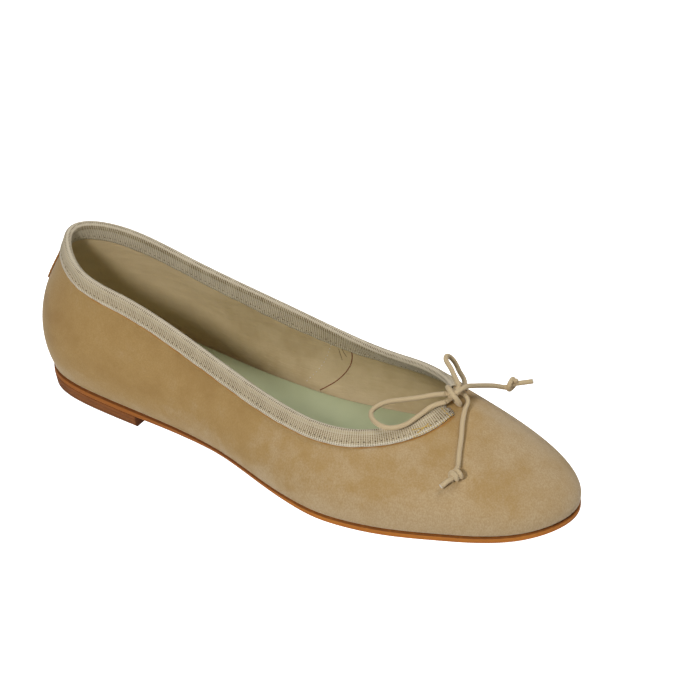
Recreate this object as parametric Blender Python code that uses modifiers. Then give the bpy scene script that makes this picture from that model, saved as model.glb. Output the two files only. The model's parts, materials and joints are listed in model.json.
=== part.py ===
"""Ballet flat for the right foot, built the way the real shoe is made.

A suede upper is lasted over a thin leather outsole with a low heel, its collar is
bound with a folded ribbon, and a drawstring leaves the ribbon at the throat in a bow.
+X points to the toe, +Y to the inner side of the foot and +Z up. The origin is on the
floor, under the middle of the shoe's box. All lengths are in metres.
"""

import math
from collections import namedtuple

import bmesh
import bpy
import numpy as np
from mathutils import Vector

# Driving sizes of the last
LENGTH = 0.246
BALL_WIDTH = 0.081
HEEL_WIDTH = 0.054
BACK_HEIGHT = 0.0663
SIDE_HEIGHT = 0.0363
THROAT_HEIGHT = 0.0445
TOE_SPRING = 0.0052
SEAT_RISE = 0.0052

# Driving sizes of the pieces
UPPER_WALL = 0.0015
LASTING_MARGIN = 0.009
FEATHER_RADIUS = 0.0018
SOLE_THICKNESS = 0.0024
SOLE_EDGE = 0.0002
WAIST_TUCK = 0.0003
WAIST_BEVEL = 0.0007
SOLE_ROUNDING = 0.0006
HEEL_DEPTH = 0.0565
HEEL_TAPER = 0.0008
INSOLE_THICKNESS = 0.0013
INSOLE_BEVEL = 0.0006
INSOLE_MARGIN = 0.0018
BINDING_OUTSIDE = 0.0055
BINDING_INSIDE = 0.0065
RIBBON = 0.0007
BINDING_GAP = 0.0110
TAB_TOP = 0.0130
TAB_WIDTH = 0.0190
TAB_HEIGHT = 0.0200
TAB_CURVE = 0.0050
TAB_LEATHER = 0.0006
TAB_GAP = 0.0004
CORD = 0.0020
KNOT_RADIUS = 0.0036
TAIL_KNOT_RADIUS = 0.0026
STUB = 0.0050
INNER_STUB = 0.0065
CLEARANCE = 0.0003

# How finely the solids are cut
STEPS_PER_ROW = 5
WALL_STEPS = 10
CORNER_STEPS = 3
FOLD_STEPS = 4
LEG_SHARES = (1.0, 0.5)
CORD_STEP = 0.0022
LATHE_STEPS = 14
PLATE_STEPS = 6
TAB_STEPS = 8

# One row for each direction round the last, from the back of the heel round the outer
# side to the toe and back along the inner side.
# follows: the width that the row's across shares are of.
# along, across: the feather edge, as shares of the length and of that width.
# top_along, top_across: the collar in plan, as the same shares.
# back, throat: how far the collar's height goes from the side height to those heights.
# swell: how far the wall's lower handle stands out, as a share of that width.
# rise: that handle's height, as a share of the wall's height.
# reach: how far out from the collar the upper handle stands, as a share of the wall's run.
# drop: how far that handle lies below the collar, as a share of the wall's height.
Row = namedtuple(
    "Row", "follows along across top_along top_across back throat swell rise reach drop"
)
ROWS = (
    Row("heel", 0.000, 0.000, 0.025, 0.020, 1.000, 0.00, 0.200, 0.60, 0.90, 0.34),
    Row("heel", 0.028, -0.335, 0.084, -0.280, 0.790, 0.00, 0.180, 0.52, 0.50, 0.34),
    Row("heel", 0.134, -0.490, 0.190, -0.340, 0.610, 0.00, 0.130, 0.42, 0.22, 0.34),
    Row("ball", 0.386, -0.388, 0.380, -0.275, 0.230, 0.00, 0.080, 0.42, 0.28, 0.34),
    Row("ball", 0.630, -0.521, 0.590, -0.370, -0.015, 0.00, 0.060, 0.48, 0.45, 0.32),
    Row("ball", 0.833, -0.382, 0.705, -0.262, -0.020, 0.06, 0.050, 0.50, 0.45, 0.30),
    Row("ball", 0.955, -0.204, 0.760, -0.100, 0.000, 0.50, 0.040, 0.42, 0.45, 0.28),
    Row("ball", 1.000, 0.052, 0.774, 0.065, 0.000, 1.00, 0.035, 0.36, 0.45, 0.26),
    Row("ball", 0.967, 0.254, 0.745, 0.180, 0.000, 0.88, 0.035, 0.34, 0.45, 0.28),
    Row("ball", 0.861, 0.403, 0.680, 0.270, 0.000, 0.55, 0.040, 0.40, 0.45, 0.30),
    Row("ball", 0.704, 0.478, 0.580, 0.335, 0.000, 0.08, 0.050, 0.42, 0.45, 0.32),
    Row("ball", 0.445, 0.296, 0.400, 0.335, 0.205, 0.00, 0.085, 0.40, 0.35, 0.34),
    Row("heel", 0.143, 0.510, 0.195, 0.450, 0.560, 0.00, 0.130, 0.42, 0.30, 0.34),
    Row("heel", 0.032, 0.320, 0.074, 0.330, 0.860, 0.00, 0.180, 0.52, 0.50, 0.34),
)
TOE_ROW = 7
WIDTHS = {"heel": HEEL_WIDTH, "ball": BALL_WIDTH}

# Underside of the last from heel to toe: place along the length, share of the seat rise
# and share of the toe spring.
Level = namedtuple("Level", "along seat spring")
UNDERSIDE = (
    Level(-0.05, 1.06, 0.0),
    Level(0.00, 1.06, 0.0),
    Level(0.20, 1.00, 0.0),
    Level(0.40, 0.88, 0.0),
    Level(0.55, 0.26, 0.0),
    Level(0.65, 0.00, 0.0),
    Level(0.72, 0.00, 0.0),
    Level(0.85, 0.00, 0.27),
    Level(1.00, 0.00, 1.0),
    Level(1.05, 0.00, 1.4),
)

# How much of the waist tuck and bevel the sole's edge takes along the length.
Tuck = namedtuple("Tuck", "along share")
TUCKS = (
    Tuck(-0.05, 0.0),
    Tuck(0.22, 0.0),
    Tuck(0.32, 0.5),
    Tuck(0.42, 1.0),
    Tuck(0.52, 0.8),
    Tuck(0.64, 0.1),
    Tuck(0.72, 0.0),
    Tuck(1.05, 0.0),
)

# The bow, in millimetres from the middle of its knot. The knot sits this far from the
# middle of the throat, and its ring lies square to its axis.
KNOT_PLACE = (2.6, -4.1, 2.9)
KNOT_AXIS = (0.25, 0.85, 0.35)
TAIL_KNOT_OUTER = (14.6, -23.8, -18.2)
TAIL_KNOT_OUTER_AXIS = (-3.8, -4.4, -3.9)
TAIL_KNOT_INNER = (8.9, 30.2, -9.7)
TAIL_KNOT_INNER_AXIS = (0.75, 0.62, 0.05)
LOOP_OUTER = (
    (-2.2, -3.1, 1.6),
    (-7.0, -3.6, -0.3),
    (-12.0, -6.3, -1.7),
    (-17.5, -8.7, -3.2),
    (-23.0, -11.0, -4.7),
    (-26.4, -13.7, -6.2),
    (-27.4, -17.4, -7.2),
    (-25.0, -20.9, -7.6),
    (-20.1, -23.2, -7.6),
    (-15.7, -21.9, -8.1),
    (-11.5, -18.2, -7.3),
    (-8.5, -12.8, -5.2),
    (-5.8, -7.6, -3.0),
    (-1.0, -4.6, -0.8),
)
LOOP_INNER = (
    (0.9, 2.7, 2.7),
    (-3.0, 5.7, 4.0),
    (-6.5, 8.6, 5.2),
    (-10.2, 11.3, 6.1),
    (-11.6, 13.7, 6.2),
    (-11.9, 16.1, 4.9),
    (-11.0, 17.6, 2.9),
    (-9.3, 17.7, 0.8),
    (-7.2, 16.3, -0.6),
    (-3.4, 13.4, -1.4),
    (-0.6, 9.4, -1.0),
    (1.2, 5.2, 0.0),
)
TAIL_OUTER = (
    (3.5, 2.9, -0.9),
    (4.9, 2.0, -2.8),
    (5.4, -0.9, -4.6),
    (7.1, -5.8, -7.2),
    (9.5, -10.9, -10.5),
    (11.5, -15.9, -13.9),
    (13.5, -20.3, -16.9),
)
TAIL_INNER = (
    (2.2, -3.4, 3.3),
    (3.4, -0.4, 4.2),
    (3.8, 3.8, 3.2),
    (3.5, 10.4, -0.6),
    (4.0, 17.6, -4.6),
    (5.3, 23.2, -7.6),
    (7.0, 27.6, -10.3),
)

LEATHERS = {
    "suede": ((0.46, 0.33, 0.19, 1.0), 0.95),
    "ribbon": ((0.62, 0.54, 0.41, 1.0), 0.85),
    "sole leather": ((0.42, 0.17, 0.06, 1.0), 0.45),
    "heel leather": ((0.26, 0.10, 0.04, 1.0), 0.45),
    "insole leather": ((0.33, 0.36, 0.23, 1.0), 0.55),
    "tab leather": ((0.40, 0.19, 0.07, 1.0), 0.70),
    "cord": ((0.58, 0.46, 0.31, 1.0), 0.80),
}


def clear_scene():
    for thing in list(bpy.data.objects):
        bpy.data.objects.remove(thing)


def material(name):
    colour, roughness = LEATHERS[name]
    made = bpy.data.materials.get(name)
    if made is None:
        made = bpy.data.materials.new(name)
        made.use_nodes = True
        shader = made.node_tree.nodes["Principled BSDF"]
        shader.inputs["Base Color"].default_value = colour
        shader.inputs["Roughness"].default_value = roughness
        shader.inputs["Metallic"].default_value = 0.0
    return made


def add_object(name, data, finish):
    """Puts an object into the shoe's collection, with its finish."""
    made = bpy.data.objects.new(name, data)
    made.data.materials.append(material(finish))
    SHOE.objects.link(made)
    made.parent = STAND
    return made


def loop_bends(knots, values):
    """Second derivatives of the smooth closed curve through the values."""
    count = len(values)
    gaps = np.diff(knots)
    matrix = np.zeros((count, count))
    right = np.zeros_like(values)
    for i in range(count):
        before, after = gaps[i - 1], gaps[i]
        matrix[i, i - 1] += before
        matrix[i, i] += 2 * (before + after)
        matrix[i, (i + 1) % count] += after
        rise_after = (values[(i + 1) % count] - values[i]) / after
        rise_before = (values[i] - values[i - 1]) / before
        right[i] = 6 * (rise_after - rise_before)
    return np.linalg.solve(matrix, right)


def last_table():
    """The rows as lengths: foot x, y, collar x, y, z, swell, rise, reach and drop."""
    rows = []
    for row in ROWS:
        width = WIDTHS[row.follows]
        height = SIDE_HEIGHT
        height += row.back * (BACK_HEIGHT - SIDE_HEIGHT)
        height += row.throat * (THROAT_HEIGHT - SIDE_HEIGHT)
        foot = (row.along * LENGTH, row.across * width)
        collar = (row.top_along * LENGTH, row.top_across * width, height)
        rows.append((*foot, *collar, row.swell * width, row.rise, row.reach, row.drop))
    return np.array(rows)


TABLE = last_table()
STEP_LENGTHS = np.linalg.norm(TABLE[:, :2] - np.roll(TABLE[:, :2], -1, axis=0), axis=1)
KNOTS = np.concatenate([[0.0], np.cumsum(np.sqrt(STEP_LENGTHS))])
BENDS = loop_bends(KNOTS, TABLE)
Spoke = namedtuple("Spoke", "foot out collar swell rise reach drop")


def table_at(turn):
    """The table's columns, and their slopes, at a place round the last counted in rows."""
    row = int(math.floor(turn)) % len(ROWS)
    share = turn - math.floor(turn)
    gap = KNOTS[row + 1] - KNOTS[row]
    after = (row + 1) % len(ROWS)
    a, b = 1 - share, share
    value = a * TABLE[row] + b * TABLE[after]
    value = value + ((a**3 - a) * BENDS[row] + (b**3 - b) * BENDS[after]) * gap**2 / 6
    slope = (TABLE[after] - TABLE[row]) / gap
    slope = slope + ((3 * b * b - 1) * BENDS[after] - (3 * a * a - 1) * BENDS[row]) * gap / 6
    return value, slope


def gentle_slopes(places, values):
    """Slopes for a smooth curve that never passes beyond its own values."""
    steps = [
        (values[i + 1] - values[i]) / (places[i + 1] - places[i]) for i in range(len(values) - 1)
    ]
    slopes = [steps[0]]
    for before, after in zip(steps, steps[1:]):
        level = before * after <= 0.0
        slopes.append(0.0 if level else 2.0 * before * after / (before + after))
    return slopes + [steps[-1]]


def smooth_along(along, rows, column):
    """A column of a table along the length, on a smooth curve through its rows."""
    places = [row.along for row in rows]
    values = [getattr(row, column) for row in rows]
    slopes = gentle_slopes(places, values)
    i = min(max(int(np.searchsorted(places, along)) - 1, 0), len(places) - 2)
    gap = places[i + 1] - places[i]
    t = min(max((along - places[i]) / gap, 0.0), 1.0)
    start = (1 + 2 * t) * (1 - t) ** 2 * values[i] + t * (1 - t) ** 2 * gap * slopes[i]
    return start + t * t * (3 - 2 * t) * values[i + 1] + t * t * (t - 1) * gap * slopes[i + 1]


def underside(x):
    """Height of the last's underside, where the upper's turned edge lies."""
    along = x / LENGTH
    height = SOLE_THICKNESS + CLEARANCE
    height += smooth_along(along, UNDERSIDE, "seat") * SEAT_RISE
    return height + smooth_along(along, UNDERSIDE, "spring") * TOE_SPRING


def spoke(turn):
    """Everything that shapes the wall in one direction round the last."""
    value, slope = table_at(turn)
    # The rows run heel, outer side, toe, inner side, so the way out lies to their right.
    out = Vector((slope[1], -slope[0], 0.0)).normalized()
    foot = Vector((value[0], value[1], 0.0))
    foot.z = underside(foot.x)
    return Spoke(foot, out, Vector(value[2:5]), *value[5:9])


def edge_at(turn, inset, lift=0.0):
    """A point of the last's underside, this far in from its feather edge."""
    ray = spoke(turn)
    point = ray.foot - ray.out * inset
    point.z = underside(point.x) + lift
    return point


def wall_point(turn, up):
    """The upper's outer face, from the top of its feather corner (0) to the collar (1)."""
    ray = spoke(turn)
    low = ray.foot + Vector((0.0, 0.0, FEATHER_RADIUS))
    height = ray.collar.z - low.z
    run = Vector((low.x - ray.collar.x, low.y - ray.collar.y, 0.0))
    low_handle = low + ray.out * ray.swell + Vector((0.0, 0.0, ray.rise * height))
    top_handle = ray.collar + run * ray.reach - Vector((0.0, 0.0, ray.drop * height))
    down = 1.0 - up
    return (
        low * down**3
        + low_handle * 3 * down**2 * up
        + top_handle * 3 * down * up**2
        + ray.collar * up**3
    )


SMALL_TURN = 0.02
SMALL_UP = 0.01
SEARCH_STEPS = 6


def wall_normal(turn, up):
    """The way straight out of the upper's outer face."""
    low, high = max(up - SMALL_UP, 0.0), min(up + SMALL_UP, 1.0)
    rise = wall_point(turn, high) - wall_point(turn, low)
    sweep = wall_point(turn + SMALL_TURN, up) - wall_point(turn - SMALL_TURN, up)
    return sweep.cross(rise).normalized()


def skin(turn, up, out):
    """A point this far out of the upper's outer face."""
    return wall_point(turn, up) + wall_normal(turn, up) * out


def collar_axes(turn):
    """(outward normal, way down the wall square to the collar, way along the collar)."""
    normal = wall_normal(turn, 1.0)
    ahead = wall_point(turn + SMALL_TURN, 1.0) - wall_point(turn - SMALL_TURN, 1.0)
    ahead.normalize()
    return normal, ahead.cross(normal).normalized(), ahead


def below_collar(turn, depth):
    """(turn, up) of the wall's point that lies this far below the collar, square to it."""
    start = wall_point(turn, 1.0)
    down, ahead = collar_axes(turn)[1:]
    place = np.array([turn, 1.0])
    for _ in range(SEARCH_STEPS):
        here = wall_point(*place)
        by_turn = (wall_point(place[0] + SMALL_TURN, place[1]) - here) / SMALL_TURN
        by_up = (here - wall_point(place[0], place[1] - SMALL_UP)) / SMALL_UP
        missing = (depth - (here - start).dot(down), -(here - start).dot(ahead))
        slopes = ((by_turn.dot(down), by_up.dot(down)), (by_turn.dot(ahead), by_up.dot(ahead)))
        place += np.linalg.solve(np.array(slopes), np.array(missing))
    return float(place[0]), float(place[1])


def mesh_of(points, faces):
    """A mesh with its doubled points merged, which drops the faces that they made flat."""
    shape = bmesh.new()
    corners = [shape.verts.new(p) for p in points]
    for face in faces:
        shape.faces.new([corners[i] for i in face])
    bmesh.ops.remove_doubles(shape, verts=shape.verts, dist=1e-6)
    mesh = bpy.data.meshes.new("shape")
    shape.to_mesh(mesh)
    shape.free()
    mesh.shade_smooth()
    return mesh


def loft(sections, closed):
    """The open surface through a row of sections, each a list of points."""
    size = len(sections[0])
    points = [point for section in sections for point in section]
    faces = []
    for i in range(len(sections) if closed else len(sections) - 1):
        here, there = i * size, (i + 1) % len(sections) * size
        for j in range(size - 1):
            faces.append((here + j, there + j, there + j + 1, here + j + 1))
    return points, faces


def shell(name, sections, closed, thickness, side, finish):
    """A wall of even thickness on an open surface. Side 1 grows it outwards, -1 inwards."""
    made = add_object(name, mesh_of(*loft(sections, closed)), finish)
    wall = made.modifiers.new("Wall", "SOLIDIFY")
    wall.thickness = thickness
    wall.offset = side
    wall.use_even_offset = True
    wall.use_quality_normals = True
    return made


def plate(name, levels, finish):
    """A closed slab. Each level is a list of (outer side, inner side) edge pairs, heel to toe."""
    points, faces = [], []
    rows = len(levels[0][0])
    per_level = rows * (PLATE_STEPS + 1)
    for level, (pairs, height) in enumerate(levels):
        for outer, inner in pairs:
            for j in range(PLATE_STEPS + 1):
                point = outer.lerp(inner, j / PLATE_STEPS)
                point.z = height(point.x)
                points.append(point)

    def at(level, row, column):
        return level * per_level + row * (PLATE_STEPS + 1) + column

    # The way round a level: down the outer side, across the front end and back.
    rim = [(row, 0) for row in range(rows - 1)]
    rim += [(rows - 1, column) for column in range(PLATE_STEPS)]
    rim += [(row, PLATE_STEPS) for row in range(rows - 1, 0, -1)]
    rim += [(0, column) for column in range(PLATE_STEPS, 0, -1)]
    last = len(levels) - 1
    for row in range(rows - 1):
        for column in range(PLATE_STEPS):
            corners = ((row, column), (row + 1, column), (row + 1, column + 1), (row, column + 1))
            faces.append([at(last, *corner) for corner in corners])
            faces.append([at(0, *corner) for corner in corners[::-1]])
    for level in range(last):
        for here, there in zip(rim, rim[1:] + rim[:1]):
            low, high = (level, level), (level + 1, level + 1)
            faces.append(
                [at(low[0], *here), at(low[1], *there), at(high[0], *there), at(high[1], *here)]
            )
    return add_object(name, mesh_of(points, faces), finish)


def make_upper():
    """The suede and its lining as one wall, from under the foot up to the collar."""
    sections = []
    for i in range(len(ROWS) * STEPS_PER_ROW):
        turn = i / STEPS_PER_ROW
        section = [edge_at(turn, FEATHER_RADIUS + LASTING_MARGIN * share) for share in (1.0, 0.5)]
        for step in range(CORNER_STEPS):
            angle = 0.5 * math.pi * step / CORNER_STEPS
            inset = FEATHER_RADIUS * (1.0 - math.sin(angle))
            lift = FEATHER_RADIUS * (1.0 - math.cos(angle))
            section.append(edge_at(turn, inset, lift))
        for step in range(WALL_STEPS + 1):
            section.append(wall_point(turn, step / WALL_STEPS))
        sections.append(section)
    return shell("upper", sections, True, UPPER_WALL, -1.0, "suede")


def binding_turns():
    """(first, last) place of the ribbon, from one side of the throat round the heel."""
    here, there = wall_point(TOE_ROW - 0.05, 1.0), wall_point(TOE_ROW + 0.05, 1.0)
    half = 0.5 * BINDING_GAP * 0.1 / (there - here).length
    return TOE_ROW + half, TOE_ROW + len(ROWS) - half


def make_binding():
    """The ribbon that is folded over the collar, open at the throat."""
    radius = 0.5 * UPPER_WALL + CLEARANCE
    first, last = binding_turns()
    sections = []
    steps = len(ROWS) * STEPS_PER_ROW
    for i in range(steps + 1):
        turn = first + (last - first) * i / steps
        normal, down = collar_axes(turn)[:2]
        middle = skin(turn, 1.0, -0.5 * UPPER_WALL)
        outer, inner = [], []
        for share in LEG_SHARES:
            place = below_collar(turn, BINDING_OUTSIDE * share)
            outer.append(skin(*place, CLEARANCE))
            place = below_collar(turn, BINDING_INSIDE * share)
            inner.append(skin(*place, -UPPER_WALL - CLEARANCE))
        fold = []
        for step in range(FOLD_STEPS + 1):
            angle = math.pi * step / FOLD_STEPS
            fold.append(middle + (normal * math.cos(angle) - down * math.sin(angle)) * radius)
        sections.append(outer + fold + inner[::-1])
    return shell("binding", sections, False, RIBBON, 1.0, "ribbon")


def sole_pairs(inset_at):
    """Edge pairs of a plate under the foot, with an inset that may change along the length."""
    pairs = []
    half = TOE_ROW * STEPS_PER_ROW
    for i in range(half + 1):
        sides = []
        for turn in (i / STEPS_PER_ROW, len(ROWS) - i / STEPS_PER_ROW):
            along = spoke(turn).foot.x / LENGTH
            sides.append(edge_at(turn, inset_at(along)))
        pairs.append(tuple(sides))
    return pairs


def waist(along):
    return smooth_along(along, TUCKS, "share")


def sole_top(x):
    return underside(x) - CLEARANCE


def sole_thickness(x):
    return SOLE_THICKNESS - WAIST_BEVEL * 0.5 * waist(x / LENGTH)


def sole_bottom(x):
    return sole_top(x) - sole_thickness(x)


def make_outsole():
    """The thin leather sole, tucked in and bevelled at the waist."""

    def top_inset(along):
        return WAIST_TUCK * waist(along) - SOLE_EDGE

    def bottom_inset(along):
        return top_inset(along) + SOLE_ROUNDING + WAIST_BEVEL * waist(along)

    levels = ((sole_pairs(bottom_inset), sole_bottom), (sole_pairs(top_inset), sole_top))
    return plate("outsole", levels, "sole leather")


def turn_at(x, first, last):
    """The place round the last, between two others, where the feather edge crosses x."""
    for _ in range(40):
        middle = 0.5 * (first + last)
        if (spoke(middle).foot.x - x) * (spoke(first).foot.x - x) <= 0:
            last = middle
        else:
            first = middle
    return 0.5 * (first + last)


def make_heel():
    """The low heel under the seat, standing on the floor."""
    outer = turn_at(HEEL_DEPTH, 0.0, TOE_ROW)
    inner = len(ROWS) - turn_at(HEEL_DEPTH, len(ROWS) - 0.001, TOE_ROW)
    steps = 3 * STEPS_PER_ROW

    def pairs(inset):
        found = []
        for i in range(steps + 1):
            share = i / steps
            found.append(tuple(edge_at(turn, inset) for turn in (outer * share, -inner * share)))
        return found

    levels = (
        (pairs(HEEL_TAPER - SOLE_EDGE), lambda x: 0.0),
        (pairs(-SOLE_EDGE), lambda x: sole_bottom(x) - CLEARANCE),
    )
    return plate("heel", levels, "heel leather")


def make_insole():
    """The padded sock inside, on the upper's turned edge."""
    inset = UPPER_WALL + CLEARANCE + INSOLE_MARGIN

    def bottom(x):
        return underside(x) + UPPER_WALL + CLEARANCE

    def top(x):
        return bottom(x) + INSOLE_THICKNESS

    levels = (
        (sole_pairs(lambda along: inset + INSOLE_BEVEL), bottom),
        (sole_pairs(lambda along: inset), top),
    )
    return plate("insole", levels, "insole leather")


def make_tab():
    """The leather patch over the back seam: it widens from the ribbon to a curved bottom."""
    here, there = wall_point(-0.05, 0.8), wall_point(0.05, 0.8)
    turn_per_metre = 0.1 / (there - here).length
    sections = []
    for i in range(TAB_STEPS + 1):
        share = math.cos(math.pi * i / TAB_STEPS)
        height = TAB_HEIGHT - TAB_CURVE * (1.0 - math.sqrt(max(1.0 - share**2, 0.0)))
        section = []
        for j in range(TAB_STEPS + 1):
            fall = height * (1.0 - j / TAB_STEPS)
            wide = TAB_TOP + (TAB_WIDTH - TAB_TOP) * (fall / TAB_HEIGHT) ** 2
            turn = 0.5 * wide * share * turn_per_metre
            depth = BINDING_OUTSIDE + CLEARANCE + fall
            section.append(skin(*below_collar(turn, depth), TAB_GAP))
        sections.append(section)
    return shell("heel_tab", sections[::-1], False, TAB_LEATHER, 1.0, "tab leather")


def smooth_route(points):
    """Points a cord's step apart on the smooth curve through a route."""
    places = [Vector(p) * 0.001 for p in points]
    places = [places[0] * 2 - places[1], *places, places[-1] * 2 - places[-2]]
    route = [places[1]]
    for a, b, c, d in zip(places, places[1:], places[2:], places[3:]):
        steps = max(1, round((c - b).length / CORD_STEP))
        for i in range(1, steps + 1):
            t = i / steps
            route.append(
                ((b * 2) + (c - a) * t + (a * 2 - b * 5 + c * 4 - d) * t**2
                 + (b * 3 - a - c * 3 + d) * t**3) * 0.5
            )
    return route


def make_cord(name, knot, points):
    """A round cord along a route that is given from the bow's knot."""
    curve = bpy.data.curves.new(name, "CURVE")
    curve.dimensions = "3D"
    curve.bevel_depth = 0.5 * CORD
    curve.bevel_resolution = 2
    curve.use_fill_caps = True
    route = smooth_route(points)
    line = curve.splines.new("POLY")
    line.points.add(len(route) - 1)
    for point, place in zip(line.points, route):
        point.co = (*(knot + place), 1.0)
    return add_object(name, curve, "cord")


def make_knot(name, centre, axis, radius, stub=0.0):
    """A knot as a ring of cord round a core, with a stub of cord beyond it."""
    half = 0.5 * CORD
    profile = [(-2.4, 0.0), (-2.1, 0.8), (-1.2, 1.4)]
    profile = [(along * half, out * half) for along, out in profile]
    for degrees in (-65, -32, 0, 32, 65):
        angle = math.radians(degrees)
        profile.append((half * math.sin(angle), radius - half * (1.0 - math.cos(angle))))
    profile.append((1.2 * half, 1.4 * half))
    if stub:
        profile += [(2.0 * half, half), (2.4 * half + stub, half), (2.4 * half + stub, 0.0)]
    else:
        profile += [(2.1 * half, 0.8 * half), (2.4 * half, 0.0)]
    along = Vector(axis).normalized()
    side = along.orthogonal().normalized()
    over = along.cross(side)
    sections = []
    for i in range(LATHE_STEPS):
        angle = 2.0 * math.pi * i / LATHE_STEPS
        out = side * math.cos(angle) + over * math.sin(angle)
        sections.append([centre + along * a + out * r for a, r in profile])
    return add_object(name, mesh_of(*loft(sections, True)), "cord")


def make_bow():
    """The knot on the throat, its two loops and its two knotted tails."""
    knot = wall_point(TOE_ROW, 1.0) + Vector(KNOT_PLACE) * 0.001
    make_knot("bow_knot", knot, KNOT_AXIS, KNOT_RADIUS)
    make_cord("loop_outer", knot, LOOP_OUTER)
    make_cord("loop_inner", knot, LOOP_INNER)
    make_cord("tail_outer", knot, TAIL_OUTER)
    make_cord("tail_inner", knot, TAIL_INNER)
    for name, place, axis, stub in (
        ("tail_knot_outer", TAIL_KNOT_OUTER, TAIL_KNOT_OUTER_AXIS, STUB),
        ("tail_knot_inner", TAIL_KNOT_INNER, TAIL_KNOT_INNER_AXIS, INNER_STUB),
    ):
        make_knot(name, knot + Vector(place) * 0.001, axis, TAIL_KNOT_RADIUS, stub)


def stand_on_floor():
    """Moves the shoe so that the origin is under the middle of its box."""
    bpy.context.view_layer.update()
    graph = bpy.context.evaluated_depsgraph_get()
    low, high = Vector((1.0,) * 3), Vector((-1.0,) * 3)
    for thing in SHOE.objects:
        if thing.type != "MESH":
            continue
        for point in thing.evaluated_get(graph).data.vertices:
            place = thing.matrix_world @ point.co
            low = Vector(map(min, low, place))
            high = Vector(map(max, high, place))
    STAND.location = (-0.5 * (low.x + high.x), -0.5 * (low.y + high.y), -low.z)
    bpy.context.view_layer.update()


clear_scene()
SHOE = bpy.data.collections.new("ballet flat")
bpy.context.scene.collection.children.link(SHOE)
STAND = bpy.data.objects.new("stand", None)
SHOE.objects.link(STAND)
make_outsole()
make_heel()
make_insole()
make_upper()
make_binding()
make_tab()
make_bow()
stand_on_floor()
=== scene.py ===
# %% [markdown]
# # A suede ballet flat
# A ballet flat is one of the simplest shoes to look at and one of the least forgiving to
# model, because nothing hides its shape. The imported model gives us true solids: sole, heel,
# insole, upper, ribbon, tab and bow. In this lesson we dress them: nappy suede, a smooth
# leather lining, a woven ribbon with its stitches, a stained sole edge and a knotted cord.

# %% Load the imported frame
import json
import math
from collections import namedtuple

import bmesh
import bpy
import numpy as np
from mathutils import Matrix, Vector

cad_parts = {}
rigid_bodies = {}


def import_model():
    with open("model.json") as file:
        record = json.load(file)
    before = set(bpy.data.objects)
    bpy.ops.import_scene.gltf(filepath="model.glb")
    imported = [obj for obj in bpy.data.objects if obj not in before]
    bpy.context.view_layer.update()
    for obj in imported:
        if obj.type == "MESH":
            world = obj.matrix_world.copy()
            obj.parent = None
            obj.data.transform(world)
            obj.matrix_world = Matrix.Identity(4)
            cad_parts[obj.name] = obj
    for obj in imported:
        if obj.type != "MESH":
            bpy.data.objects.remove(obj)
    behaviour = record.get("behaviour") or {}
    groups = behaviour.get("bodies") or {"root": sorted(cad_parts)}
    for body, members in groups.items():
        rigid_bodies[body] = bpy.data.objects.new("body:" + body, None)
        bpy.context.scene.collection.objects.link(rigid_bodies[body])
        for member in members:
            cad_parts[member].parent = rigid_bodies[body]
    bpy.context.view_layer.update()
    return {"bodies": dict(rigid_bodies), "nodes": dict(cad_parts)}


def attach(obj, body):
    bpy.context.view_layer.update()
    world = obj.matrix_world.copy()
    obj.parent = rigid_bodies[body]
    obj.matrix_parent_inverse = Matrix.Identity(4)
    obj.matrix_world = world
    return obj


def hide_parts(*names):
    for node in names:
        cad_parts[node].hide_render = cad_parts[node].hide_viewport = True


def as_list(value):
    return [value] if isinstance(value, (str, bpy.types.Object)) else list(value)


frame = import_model()
MM = 0.001
print("solids:", ", ".join(sorted(frame["nodes"])))

# %% [markdown]
# ## Camera
# The photograph was taken with a long lens from above the outer side of the shoe, well
# towards its toe. A long lens flattens perspective, so the distance matters as much as
# the angle. We build the camera's matrix from azimuth, elevation and roll rather than with
# a Track To constraint, because a constraint can't hold the small roll.

# %% Camera
CAMERA_AZIMUTH = math.radians(32.656)
CAMERA_ELEVATION = math.radians(33.740)
CAMERA_ROLL = math.radians(-1.216)
CAMERA_DISTANCE = 0.98082
CAMERA_AIM = Vector((0.02485, 0.00180, 0.05319))
SENSOR, LENS = 36.0, 126.56


def make_camera():
    across = Vector((math.cos(CAMERA_AZIMUTH), math.sin(CAMERA_AZIMUTH), 0.0))
    back = Vector((math.sin(CAMERA_AZIMUTH), -math.cos(CAMERA_AZIMUTH), 0.0)) * math.cos(CAMERA_ELEVATION)
    back.z = math.sin(CAMERA_ELEVATION)
    up = back.cross(across)
    c, s = math.cos(CAMERA_ROLL), math.sin(CAMERA_ROLL)
    right, above = across * c + up * s, up * c - across * s
    data = bpy.data.cameras.new("camera")
    data.sensor_width, data.lens = SENSOR, LENS
    data.clip_start, data.clip_end = 0.05, 20.0
    camera = bpy.data.objects.new("camera", data)
    place = CAMERA_AIM + back * CAMERA_DISTANCE
    for row in range(3):
        camera.matrix_world[row][0] = right[row]
        camera.matrix_world[row][1] = above[row]
        camera.matrix_world[row][2] = back[row]
        camera.matrix_world[row][3] = place[row]
    bpy.context.scene.collection.objects.link(camera)
    bpy.context.scene.camera = camera


make_camera()

# %% [markdown]
# ## The last, as a function
# Shoemakers pull every piece over one wooden form, the last. Here the last is a function:
# a short table says where the foot edge and the collar lie in fourteen directions, and a
# smooth closed curve runs through each column. `wall(turn, up)` then gives any point of the
# shoe's outside, so that suede, lining, ribbon and stitches all follow the same shape.

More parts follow.
